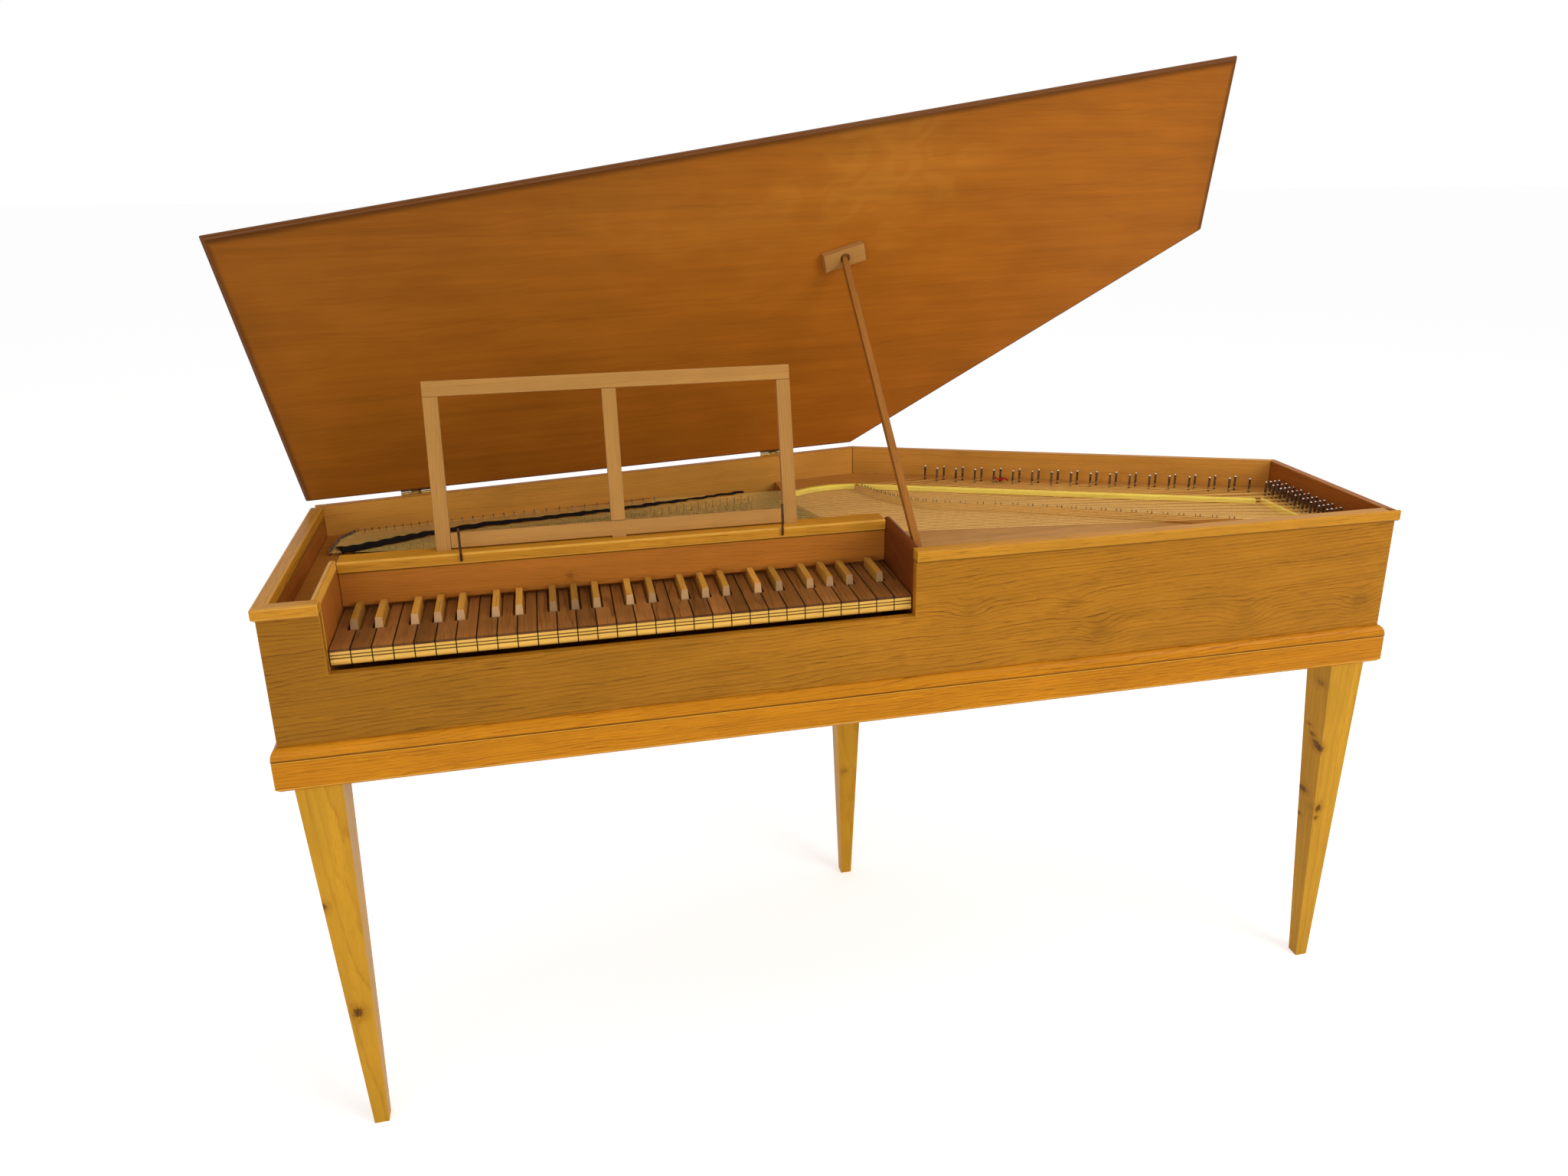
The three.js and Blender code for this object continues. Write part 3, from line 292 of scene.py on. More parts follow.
def sawn(name, timber, grain, pith=(180, -60), tilt=(0.02, 0.01), knots=(), cells=None, extra=None):
    """Varnished wood cut through its rings, with fibres, hairlines, streaks, flecks, knots and painted glints
    of light.

    pith is where the heart of the tree runs beside the board, across and through it, and
    tilt how much it slants; a knot is its place in the case, its radius and how dark it is;
    cells is the start and the width across of narrow pieces sawn from other boards."""
    finish = Finish(name, Coat_Weight=timber.varnish, Coat_Roughness=0.24, Specular_IOR_Level=0.06)
    away = finish.vector("SUBTRACT", finish.place(), grain.origin)
    axes = (grain.along, grain.across, grain.through)
    along, across, through = [finish.vector("DOT_PRODUCT", away, axis * 1000) for axis in axes]
    tone = 1.0
    if cells:
        cell = ((across - cells[0]) / cells[1]).floor()
        along = along + cell * 97.3
        through = through + cell * 31.7
        tone = 0.68 + finish.chance(cell) * 0.64
    board = finish.combined(along, across, through)

    def stretched(length, width, **look):
        scale = (1 / length, 1 / width, 1 / width)
        return finish.noise(finish.vector("MULTIPLY", board, scale), **look)

    drift = finish.parts(stretched(230, 44, coloured=True))
    wobble = stretched(30, 8) - 0.5
    aside = across - pith[0] - along * tilt[0] + (drift[0] - 0.5) * timber.sway * 2
    deep = through - pith[1] - along * tilt[1] + (drift[1] - 0.5) * timber.sway * 2
    heart = (aside * aside + deep * deep).root() + wobble * timber.sway * 0.34
    ragged = stretched(4, 2.5) - 0.5 if knots else 0
    core, halo = 0.0, 0.0
    for x, y, z, radius, darkness in knots:
        off = (spot(x, y, z) - grain.origin) * 1000
        run, side, into = [value - off.dot(axis) for value, axis in zip((along, across, through), axes)]
        reach = (run * run * 0.6 + side * side + into * into * 0.15).root() / radius
        heart = heart + radius / (1 + reach * reach * reach * 0.12)
        reach = reach + ragged * 1.7
        core = (reach.rise(1.1, 0.6) * darkness).most(core)
        halo = (reach.rise(2.8, 0.8) * darkness).most(halo)
    ring = heart / timber.ring
    phase = ring.fraction()
    thin = phase.rise(0.72, 0.93) - phase.rise(0.95, 1.0)
    soft = phase.rise(0.1, 0.9) - phase.rise(0.9, 1.0)
    broken = stretched(75, 2.6).rise(0.34, 0.6)
    late = (thin * (0.3 + broken * 0.7) * 0.85 + soft * 0.2) * (0.3 + finish.chance(ring.floor()) * 0.7)
    fibre = stretched(24, timber.fine, detail=3, roughness=0.65)
    streak = stretched(260, 10, detail=3)
    cloud = stretched(130, 50)
    fleck = stretched(9, 0.5).rise(0.67, 0.74) * timber.flecks
    hair = stretched(34, 1.1).rise(0.56, 0.68) * stretched(150, 24).rise(0.3, 0.6) * timber.hairs
    # Painted glints: short highlights added to the wood's brightness
    painted_glint = stretched(15, 0.8).rise(0.6, 0.74) * timber.painted_glints
    dark = (late * timber.lines + fleck + hair).least(1)
    light = 1 + (streak - 0.5) * timber.streaks + (fibre - 0.5) * timber.fibres
    light = (light + (cloud - 0.5) * 0.4 + painted_glint) * tone
    colour = finish.blend(dark, timber.pale, timber.dark)
    if extra:
        colour, light = extra(finish, along, across, colour, light)
    if knots:
        heart_tone = tuple(part * 0.3 for part in timber.dark[:3]) + (1,)
        colour = finish.blend(halo * 0.4, colour, timber.dark)
        colour = finish.blend(core * (0.8 + ragged * 0.8), colour, heart_tone)
    colour = finish.dimmed(colour, light)
    roughness = timber.gloss + (fibre - 0.5) * 0.22 + (cloud - 0.5) * 0.12 - late * 0.05
    height = fibre * 0.5 + late * 0.5 - fleck + hair * 0.6
    return finish.coat(colour, roughness, height, depth=0.2, strength=0.6)


def worn(name, tone, gloss):
    """An edge rubbed by hands, patchy between bare and varnished."""
    finish = Finish(name, Coat_Weight=0.03, Coat_Roughness=0.26, Specular_IOR_Level=0.1)
    patches = finish.speckle(45, detail=4)
    nicks = finish.speckle(420, detail=2)
    colour = finish.dimmed(shade(*tone), 0.72 + patches * 0.42 + nicks * 0.12)
    return finish.coat(colour, gloss + patches * 0.15, patches + nicks, depth=0.2, strength=0.3)


CASE_PINE = Timber((178, 118, 30), (86, 46, 8), 4.6, 0.78, 0.34, 0.34, 0.46, flecks=0.2,
                   painted_glints=0.24, hairs=0.46)
NAMEBOARD_PINE = Timber((182, 112, 40), (122, 66, 20), 4.0, 0.4, 0.3, 0.3, 0.44, flecks=0.16,
                        hairs=0.3)
RIM_PINE = Timber((198, 136, 38), (118, 68, 16), 5.2, 0.45, 0.3, 0.26, 0.36, varnish=0.05)
STAND_PINE = Timber((200, 128, 22), (112, 54, 6), 3.4, 0.66, 0.36, 0.3, 0.3, painted_glints=0.24,
                    varnish=0.04)
LEG_PINE = Timber((200, 146, 40), (140, 84, 16), 7.0, 0.35, 0.36, 0.22, 0.38, hairs=0.2,
                  varnish=0.04)
SIDE_PINE = Timber((170, 100, 38), (96, 50, 16), 4.2, 0.5, 0.3, 0.3, 0.42)
# Its tones raised as painted light, for the inner faces of the angled wall and spine that face the light
INNER_PINE = Timber((206, 144, 60), (140, 86, 28), 4.0, 0.4, 0.26, 0.26, 0.44, hairs=0.3)
CHEEK_WOOD = Timber((116, 58, 24), (62, 28, 12), 2.4, 0.5, 0.35, 0.3, 0.4)
LID_WOOD = Timber((170, 100, 26), (126, 66, 14), 7.0, 0.22, 0.26, 0.16, 0.44, flecks=0.1,
                  sway=14, hairs=0.14)
DESK_WOOD = Timber((180, 130, 68), (134, 88, 40), 2.2, 0.35, 0.24, 0.26, 0.55, sway=4, hairs=0.2)
STICK_WOOD = Timber((158, 101, 40), (108, 62, 20), 2.0, 0.4, 0.3, 0.3, 0.5, sway=3)
PLANK_WOOD = Timber((188, 130, 58), (122, 76, 28), 2.6, 0.4, 0.35, 0.35, 0.5, sway=4)
HITCH_WOOD = Timber((176, 116, 44), (112, 68, 24), 3.2, 0.5, 0.4, 0.4, 0.5, sway=5)
BOARD_SPRUCE = Timber((198, 148, 84), (120, 74, 32), 2.2, 0.66, 0.5, 0.4, 0.5, sway=1.5,
                      painted_glints=0.3)
# The bead's yellow wood, its tones raised near white as a painted highlight of its sheen
BEAD_WOOD = Timber((255, 242, 100), (226, 180, 50), 2.0, 0.3, 0.25, 0.2, 0.2, sway=2, varnish=0.4)
LEVER_WOOD = Timber((140, 94, 44), (92, 56, 24), 1.8, 0.5, 0.3, 0.3, 0.6, sway=2)
COVER_WOOD = Timber((144, 92, 44), (64, 34, 14), 1.8, 0.6, 0.7, 0.7, 0.34, sway=2, fine=0.35,
                    varnish=0.08)
ARCADE_WOOD = Timber((238, 186, 84), (190, 128, 40), 1.5, 0.3, 0.3, 0.25, 0.2, sway=2, fine=0.35,
                     varnish=0.4)
SHARP_WOOD = Timber((192, 138, 56), (128, 80, 28), 1.5, 0.4, 0.3, 0.3, 0.32, sway=2, fine=0.35,
                    varnish=0.15)
SHARP_END = Timber((188, 148, 104), (150, 106, 66), 1.5, 0.4, 0.2, 0.3, 0.5)

case_edge = worn("case_edge", (172, 114, 30), 0.38)
rim_edge = worn("rim_edge", (214, 154, 60), 0.28)
stand_edge = worn("stand_edge", (222, 158, 52), 0.26)
lid_edge = worn("lid_edge", (112, 68, 36), 0.5)
desk_edge = worn("desk_edge", (176, 128, 70), 0.5)
cheek_edge = worn("cheek_edge", (138, 74, 30), 0.36)
# Painted highlight: the bead's rubbed edge, and the whole side bead, raised near white
bead_highlight_edge = worn("bead_highlight_edge", (255, 236, 96), 0.18)

# Lid, seen open: its origin on the spine's top rear corner, along the spine and up the lid
LID_TILT = radians(70)
spine_run = (Vector(KINK) - Vector((0, LEFT_DEPTH))).normalized()
lid_along = Vector((spine_run.x, spine_run.y, 0))
lid_up = Vector((spine_run.y, -spine_run.x, 0)) * cos(LID_TILT) + Vector((0, 0, sin(LID_TILT)))
lid_grain = Grain(spot(0, LEFT_DEPTH, RIM), lid_along, lid_up)


def lid_figure(finish, along, across, colour, light):
    """A faint swirl in the grain over the stick's rest, dark lines inside the lid's edges, and painted light
    and shade across the lid.
    """
    warp = finish.noise(finish.combined(along / 74, across / 62, 3.7), detail=1, roughness=0.4)

    def swirl(middle, up, width, height, bend):
        run, side = (along - middle) / width, (across - up) / height
        return (run * run + side * side).root() + (warp - 0.5) * bend

    reach, left_reach = swirl(800, 470, 150, 95, 1.5), swirl(500, 400, 170, 80, 1.8)
    curls = (warp * 30 + reach * 2).sine() * 0.5 + 0.5
    inside = reach.rise(1.25, 0.45) * 0.2 + left_reach.rise(1.2, 0.5) * 0.08
    colour = finish.blend(inside * (0.55 + curls.rise(0.1, 0.9) * 0.45), colour, shade(206, 146, 54))
    front = along * spine_run.y - across * spine_run.x + LEFT_DEPTH + LID_OVERHANG
    left = along * spine_run.x + across * spine_run.y + LID_OVERHANG
    right = CASE_LENGTH + 2 * LID_OVERHANG - left
    near = front.least(left).least(right)
    border = near.rise(12, 3) * 0.5 + near.rise(60, 5) * 0.12
    streaks = finish.noise(finish.combined(along / 300, across / 11, 9.2), detail=3)
    # Painted light: the lid lighter towards its right, and painted shade towards its upper left
    glow = (along / 1500).rise(0.0, 0.6) * 0.22 - (across / 640 - along / 2600).rise(0.3, 1.0) * 0.16
    return colour, light * (0.81 + glow + (streaks - 0.5) * 0.24) * (1 - border)


def painted_quirk_shade(finish, along, across, colour, light):
    """Painted shadow in a dark line under a cap's overhang, and painted shade where a moulding meets an
    apron.
    """
    height = finish.case_axis(2)
    # Painted shadow under the cap and painted shade under the moulding, as dark bands by height
    shadow_under_cap = (height - RIM + 14.6).size().rise(2.4, 0.8)
    shade_over_apron = (height - MOULDING_FOOT - 0.6).size().rise(2.6, 0.8)
    return colour, light * (1 - shadow_under_cap * 0.6) * (1 - shade_over_apron * 0.62)


def painted_shade_left(finish, along, across, colour, light):
    """Painted shade: the front wall darker towards its left end, where less light falls on it."""
    # Painted shade, deepest at the wall's left end
    return colour, light * (0.73 + (along / CASE_LENGTH).rise(-0.5, 0.3) * 0.27)


def sawn_boards(timber, edge, round_over, nodes, **shared):
    """Gives plain boards their wood, each from its own place in the tree, and eased edges."""
    for node, habit in nodes.items():
        dice = random.Random(node)
        look = {
            "grain": grain_of(node),
            "pith": (dice.choice((-1, 1)) * dice.uniform(60, 160), -dice.uniform(80, 200)),
            "tilt": (dice.uniform(-0.04, 0.04), dice.uniform(-0.03, 0.03)),
            **shared,
            **habit,
        }
        ease(dress(node, sawn(node + "_wood", timber, **look), edge), round_over, finish=1)


def dress(node, *finishes):
    """A node of the frame with its own finishes."""
    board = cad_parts[node]
    board.data.materials.clear()
    for finish in finishes:
        board.data.materials.append(finish)
    return board


def round_edges(piece, width, angle):
    """Rounds the edges that turn by more than angle, in degrees; width is in millimetres."""
    bevel = piece.modifiers.new("eased_edges", "BEVEL")
    bevel.width = width / 1000
    bevel.segments = 2
    bevel.limit_method = "ANGLE"
    bevel.angle_limit = radians(angle)
    bevel.harden_normals = True
    return bevel


def ease(board, width, finish=0):
    """Makes a board's flat sides whole faces and rounds its sharp edges."""
    weld = board.modifiers.new("joined_faces", "WELD")
    weld.merge_threshold = 1e-6
    flat = board.modifiers.new("flat_faces", "DECIMATE")
    flat.decimate_type = "DISSOLVE"
    flat.angle_limit = radians(0.5)
    round_edges(board, width, angle=14).material = finish


sawn_boards(CASE_PINE, case_edge, 0.7, {
    "front_wall": {"pith": (-190, -90), "tilt": (0.03, 0.012), "knots": [
        (830.8, 0, 640.3, 9, 0.12), (1014.5, 0, 594.5, 11, 0.2), (975.2, 0, 634.5, 9, 0.14),
        (1230.5, 0, 595, 12, 0.16), (1409.3, 0, 598, 11, 0.24),
    ], "extra": painted_shade_left},
    "bottom_board": {},
})
sawn_boards(NAMEBOARD_PINE, case_edge, 0.7, {"nameboard": {
    "pith": (150, -60), "knots": [(340.3, 134, 684.3, 4, 0.4), (526.3, 134, 674.7, 3.4, 0.4)],
}})
sawn_boards(INNER_PINE, case_edge, 0.7, {
    "angled_wall": {"pith": (-170, -50)}, "spine": {"pith": (-190, -60)},
})
sawn_boards(SIDE_PINE, case_edge, 0.7, {"right_wall": {}, "left_wall": {}})
sawn_boards(SIDE_PINE, rim_edge, 1.6, {"left_cheek": {}})
sawn_boards(RIM_PINE, rim_edge, 1.1, {
    "nameboard_cap": {}, "cap_left": {}, "cap_front_left": {}, "cap_front_right": {},
}, extra=painted_quirk_shade)
sawn_boards(CHEEK_WOOD, cheek_edge, 1.6, {"right_cheek": {}})
sawn_boards(STAND_PINE, stand_edge, 1.0, {
    "apron_front": {"pith": (-90, -70)}, "apron_right": {}, "apron_angled": {}, "apron_spine": {},
    "apron_left": {}, "cross_rail": {},
}, extra=painted_quirk_shade)
sawn_boards(LEG_PINE, stand_edge, 1.2, {
    "leg_front_left": {"knots": [(18.6, -1, 338, 5, 0.9), (15, -1, 350, 3, 0.6), (39.1, 0, 177.6, 6.5, 1)]},
    "leg_front_right": {"knots": [
        (1385, 5, 367, 4.6, 1), (1385, 12, 371, 3.4, 0.9), (1385, 21, 380, 2.6, 0.8), (1385, 30, 392, 2, 0.8),
        (1396, 0, 266, 5, 1), (1394, 0, 250, 2.8, 0.9), (1388, 29, 284, 4, 0.9), (1382, 16, 466, 4, 0.5),
        (1390, 33, 240, 2, 0.9),
    ]},
    "leg_rear": {"knots": [(771, 365, 206, 5, 0.4)]},
})
sawn_boards(LID_WOOD, lid_edge, 2.2, {
    "lid_board": {"grain": lid_grain, "pith": (1500, -500), "tilt": (0.05, 0.02), "extra": lid_figure},
})
sawn_boards(DESK_WOOD, desk_edge, 0.7, {
    "desk_stile_left": {}, "desk_stile_middle": {}, "desk_stile_right": {}, "desk_top_rail": {},
    "desk_lower_rail": {}, "lid_socket": {},
})
sawn_boards(STICK_WOOD, desk_edge, 0.7, {"lid_stick": {}})
sawn_boards(BOARD_SPRUCE, case_edge, 0.3, {
    "soundboard": {"grain": Grain(spot(900, 300, BOARD_TOP), (1, 0.04, 0), (0, 1, 0)), "pith": (1300, -90)},
})
sawn_boards(PLANK_WOOD, case_edge, 0.5, {"belly_rail": {}, "key_rack": {}})
sawn_boards(BEAD_WOOD, bead_highlight_edge, 2.6, {
    "plank_bead": {"grain": Grain(spot(1000, 430, BOARD_TOP), (1, -0.4, 0), (0, 0, 1))},
})


# Metal and cloth


def drawn_metal(name, tone, dull, roughness, patina):
    """Drawn or filed metal, clouded by a dull patina."""
    finish = Finish(name, Metallic=1)
    cloud = finish.speckle(160)
    scratch = finish.speckle(2600, 2600, 700, detail=2)
    colour = finish.blend(cloud.rise(0.35, 0.7) * patina, shade(*tone), shade(*dull))
    return finish.coat(colour, roughness + cloud * 0.2 + scratch * 0.1, scratch, depth=0.03, strength=0.3)


pin_steel = drawn_metal("pin_steel", (112, 98, 86), (54, 42, 34), 0.36, 0.8)
# Painted highlight: the pins' steel made near white on their flattened heads
pin_head_highlight = drawn_metal("pin_head_highlight", (232, 228, 222), (180, 172, 162), 0.4, 0.4)
string_brass = drawn_metal("string_brass", (244, 206, 120), (196, 150, 84), 0.3, 0.3)
hitch_brass = drawn_metal("hitch_brass", (196, 164, 96), (112, 84, 46), 0.3, 0.6)
hinge_brass = drawn_metal("hinge_brass", (176, 140, 74), (84, 60, 34), 0.36, 0.8)
page_wire = drawn_metal("page_wire", (96, 68, 46), (46, 30, 20), 0.42, 0.8)


def woven(name, tone, light, thread, fuzz):
    """A plain weave of two threads across each other; thread is its width in millimetres."""
    finish = Finish(name, Specular_IOR_Level=0.1)
    along, across, _ = finish.parts(finish.place())
    turn = 1000 * pi / thread
    slant = along * 0.8 + across * 0.6
    cross = across * 0.8 - along * 0.6
    over = (slant * turn).sine() * (cross * turn).sine()
    hair = finish.speckle(1400)
    colour = finish.blend(over.rise(-0.6, 1.0) * 0.55 + hair * fuzz, shade(*tone), shade(*light))
    return finish.coat(colour, 0.88 + hair * 0.1, over * 0.5 + hair * 0.5, depth=0.35, strength=0.7)


listing_black = woven("listing_black", (12, 10, 9), (34, 29, 26), 0.9, 0.4)
red_felt = woven("red_felt", (150, 26, 22), (206, 62, 48), 0.7, 0.5)


# Forms built up in case millimetres


class Form:
    """Faces gathered one piece after another, each with the number of its finish."""

    def __init__(self):
        self.points = []
        self.faces = []
        self.finishes = []

    def add(self, points, faces):
        """faces holds pairs of corner numbers and finish."""
        first = len(self.points)
        self.points += [Vector(place) for place in points]
        for corners, finish in faces:
            self.faces.append([first + corner for corner in corners])
            self.finishes.append(finish)

    def skin(self, rings, finish=0, closed=False, front=None):
        """Joins rings of as many points, then fills the two ends or joins them too.

        front is the finish of each ring's first side where it differs."""
        size = len(rings[0])
        count = len(rings)
        faces = []
        for i in range(count if closed else count - 1):
            for j in range(size):
                k = (j + 1) % size
                after = (i + 1) % count * size
                own = finish if j or front is None else front
                faces.append(((i * size + j, i * size + k, after + k, after + j), own))
        if not closed:
            faces.append((list(range(size)), finish))
            faces.append((list(range((count - 1) * size, count * size)), finish))
        self.add([place for ring in rings for place in ring], faces)

    def slab(self, outline, low, high, finish=0):
        self.skin([[(x, y, low) for x, y in outline], [(x, y, high) for x, y in outline]], finish)

    def moulding(self, profile, from_x, to_x, finish=0):
        """A profile of (y, z) run along X."""
        self.skin([[(x, y, z) for y, z in profile] for x in (from_x, to_x)], finish)

    def turned(self, centre, steps, sides):
        """An upright turned pin: steps holds (height, radius)."""
        x, y = centre
        rings = []
        for height, radius in steps:
            turns = [tau * i / sides for i in range(sides)]
            rings.append([(x + radius * cos(t), y + radius * sin(t), height) for t in turns])
        self.skin(rings)

    def wire(self, path, radius, sides=6, closed=False):
        """A round wire along a line of points."""
        path = [Vector(place) for place in path]
        count = len(path)
        rings = []
        side = None
        for i, place in enumerate(path):
            before = path[i - 1] if i or closed else place
            after = path[(i + 1) % count] if i + 1 < count or closed else place
            run = (after - before).normalized()
            if side is None:
                side = run.orthogonal()
            side = (side - run * side.dot(run)).normalized()
            up = run.cross(side)
            turns = [tau * j / sides for j in range(sides)]
            rings.append([place + (side * cos(t) + up * sin(t)) * radius for t in turns])
        self.skin(rings, closed=closed)

    def make(self, name, slot, finishes, replaces=(), body="instrument", rounded=0, crease=38):
        """The finished piece, riding on its body."""
        mesh = bpy.data.meshes.new(name)
        mesh.from_pydata([spot(*place) for place in self.points], [], self.faces)
        mesh.polygons.foreach_set("material_index", self.finishes)
        shaped = bmesh.new()
        shaped.from_mesh(mesh)
        bmesh.ops.recalc_face_normals(shaped, faces=shaped.faces)
        shaped.to_mesh(mesh)
        shaped.free()
        mesh.shade_smooth()
        mesh.set_sharp_from_angle(angle=radians(crease))
        for finish in finishes:
            mesh.materials.append(finish)
        made = added(name, mesh)
        if rounded:
            round_edges(made, rounded, crease)
        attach(made, body)
        if replaces:
            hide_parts(*replaces)
        return made


def unit_normal(start, end):
    """The outward direction square to one side of the case."""
    run = (Vector(end) - Vector(start)).normalized()
    return Vector((run.y, -run.x))


def mitre(first, second):
    """How far a corner moves for each millimetre that the two sides meeting there move out."""
    return (first + second) / (1 + first.dot(second))


def side_strip(side, profile):
    """Rings of a profile of (out, height) along one side of the case, mitred at both ends."""
    corners = [(0, 0), (CASE_LENGTH, 0), (CASE_LENGTH, RIGHT_DEPTH), KINK, (0, LEFT_DEPTH)]
    before, start, end, after = [corners[(side + step) % len(corners)] for step in (-1, 0, 1, 2)]
    facing = unit_normal(start, end)
    turns = (mitre(unit_normal(before, start), facing), mitre(facing, unit_normal(end, after)))
    return [
        [(x + turn.x * out, y + turn.y * out, height) for out, height in profile]
        for (x, y), turn in zip((start, end), turns)
    ]


def read_off(run, share):
    """A value read off a list of (share, value) by straight lines between them."""
    index = 1
    while index < len(run) - 1 and run[index][0] < share:
        index += 1
    (from_share, start), (to_share, end) = run[index - 1], run[index]
    return start + (end - start) * (share - from_share) / (to_share - from_share)


def over_keys(share):
    return KEYWELL[0] + (KEYWELL[1] - KEYWELL[0]) * share


def past_kink(share):
    return KINK[0] + (CASE_LENGTH - KINK[0]) * share


def line_y(start, end, x):
    return start[1] + (end[1] - start[1]) * (x - start[0]) / (end[0] - start[0])


# The last and the first string of the fan, each as two plan points of its line
treble_hitch = over_keys(read_off(HITCH_RUN, 1))
TREBLE = (
    (treble_hitch, line_y((0, LEFT_DEPTH), KINK, treble_hitch) - 33.4),
    (KINK[0] + 50, line_y(KINK, (CASE_LENGTH, RIGHT_DEPTH), KINK[0] + 50) - 85),
)
BASS = ((0, 0.7612 * LEFT_DEPTH), (CASE_LENGTH, 0.3989 * RIGHT_DEPTH))


def string_y(share, x):
    """Where the string at that share of the fan, from bass to treble, lies at x before the bridge."""
    bass = line_y(*BASS, x)
    return bass + (line_y(*TREBLE, x) - bass) * share


def offset_wall(start, end, distance):
    """The line inside a wall between two plan corners, as a function of x."""
    run = Vector(end) - Vector(start)
    slope = run.y / run.x
    drop = distance * hypot(1, slope)
    return lambda x: start[1] + slope * (x - start[0]) - drop


spine_inner = offset_wall((0, LEFT_DEPTH), KINK, WALL)
angled_inner = offset_wall(KINK, (CASE_LENGTH, RIGHT_DEPTH), WALL)


# Moulding round the stand


OVOLO_LIP = 8
OVOLO_RISE = 12.6
OVOLO_BACK = -13.7
ovolo = [(OVOLO_BACK, 0), (6.4, 0), (7.4, 0.5), (8, 1.6), (8, 2.6), (7.7, 3)]
for i in range(13):
    turn = pi / 2 * i / 12
    ovolo.append((OVOLO_LIP * cos(turn) - SEAM, 3.3 + OVOLO_RISE * sin(turn)))
ovolo.append((OVOLO_BACK, 15.9))
ovolo = [(out, MOULDING_FOOT + up) for out, up in ovolo]
for name, side, grain in (
    ("front", 0, Grain(spot(700, 0, 549), (1, 0, 0), UP)),
    ("right", 1, Grain(spot(CASE_LENGTH, 140, 549), (0, 1, 0), UP)),
    ("left", 4, Grain(spot(0, 190, 549), (0, 1, 0), UP)),
):
    moulding = Form()
    moulding.skin(side_strip(side, ovolo))
    wood = sawn(f"moulding_{name}_wood", STAND_PINE, grain, pith=(-60, -20), extra=painted_quirk_shade)
    moulding.make(f"stand_moulding_{name}", "stand_pine", [wood], [f"moulding_{name}"])


# Keys


NATURAL_OF_STEP = [0, 0, 1, 1, 2, 3, 3, 4, 4, 5, 5, 6]
SHARP_STEPS = (1, 3, 6, 8, 10)


class Key:
    """Where a key's head, tail, balance pin and tangent lie; keys count up from low C."""

    def __init__(self, number):
        octave, step = divmod(number, 12)
        start = KEYWELL[0] + 1 + octave * OCTAVE
        width = LOW_TAIL if step < 5 else HIGH_TAIL
        left = step * LOW_TAIL if step < 5 else LOW_STEPS_WIDTH + (step - 5) * HIGH_TAIL
        self.is_sharp = step in SHARP_STEPS
        self.head_left = start + NATURAL_OF_STEP[step] * NATURAL_PITCH + KEY_GAP / 2
        self.head_right = self.head_left + NATURAL_PITCH - KEY_GAP
        self.left = start + left + KEY_GAP / 2
        last = number == KEY_COUNT - 1
        self.right = self.head_right if last else start + left + width - KEY_GAP / 2
        self.middle = (self.left + self.right) / 2
        pair = number if number < UNFRETTED_KEYS else UNFRETTED_KEYS + (number - UNFRETTED_KEYS) // 2
        self.share = min(pair, PAIR_COUNT - 1) / (PAIR_COUNT - 1)
        self.tangent_x = over_keys(read_off(TANGENT_RUN, number / (KEY_COUNT - 1)))
        self.tangent_y = string_y(self.share, self.tangent_x)

    def head(self, front, back):
        corners = []
        if self.left > self.head_left:
            corners += [(self.left, back), (self.head_left, back)]
        corners += [(self.head_left, front), (self.head_right, front)]
        if self.right < self.head_right:
            corners += [(self.head_right, back), (self.right, back)]
        return corners


LEVER, COVER, ARCADE, SHARP, SHARP_FRONT, TANGENT = range(6)
TAIL_HALF = 3.8
TAIL_BACK = 28
SLIP_BACK = 38
ARCADE_THICKNESS = 3.8
SHARP_LENGTH = 62
SHARP_RISE = 11.4
KEY_DIP = radians(1.5)
GROOVES = (4.5, 8.5)
ARCADE_PROFILE = [(KEY_FRONT - out, LEVER_TOP - down) for out, down in (
    (0, 0.1), (2.7, 0.1), (2.9, 3.2), (2.7, 3.9), (1.9, 4.2), (1.9, 4.8), (2.7, 5.2), (3.2, 5.7), (3.4, 6.5),
    (3.2, 7.3), (2.7, 7.8), (1.9, 8.2), (1.9, 8.8), (2.8, 9.2), (3.4, 10), (3.6, 11.4), (3.5, 13.4),
    (3.1, 15.2), (2.5, 16.4), (1.6, 16.9), (0, 16.9),
)]


def key_borders(finish, along, across, colour, light):
    """Painted shade along the sides of the covers, where the gaps between keys lie in shadow, a painted sheen
    on their front part and a dark line at their front edge.
    """
    head = ((across - 1) / NATURAL_PITCH).fraction() * NATURAL_PITCH
    in_octave = ((across - 1) / OCTAVE).fraction() * OCTAVE
    upper = in_octave.rise(LOW_STEPS_WIDTH - 0.1, LOW_STEPS_WIDTH + 0.1)
    low = (in_octave / LOW_TAIL).fraction() * LOW_TAIL
    high = ((in_octave - LOW_STEPS_WIDTH) / HIGH_TAIL).fraction() * HIGH_TAIL
    from_head = head.least(NATURAL_PITCH - head)
    from_tail = low.least(LOW_TAIL - low) * (1 - upper) + high.least(HIGH_TAIL - high) * upper
    from_front = finish.case_axis(1)
    in_head = (from_front - HEAD_BACK).rise(0.3, -0.3)
    # Painted shade along each cover's sides, for the shadow in the gaps between keys
    from_side = from_tail + (from_head - from_tail) * in_head
    # Painted sheen: the front of the covers lighter, fading towards the back
    painted_sheen_falloff = from_front.rise(15, 40) * 0.2
    lip = from_front.rise(13.2, 12.4) * 0.6
    return colour, light * (1.1 - painted_sheen_falloff) * (1 - from_side.rise(1.3, 0.6) * 0.8) * (1 - lip)


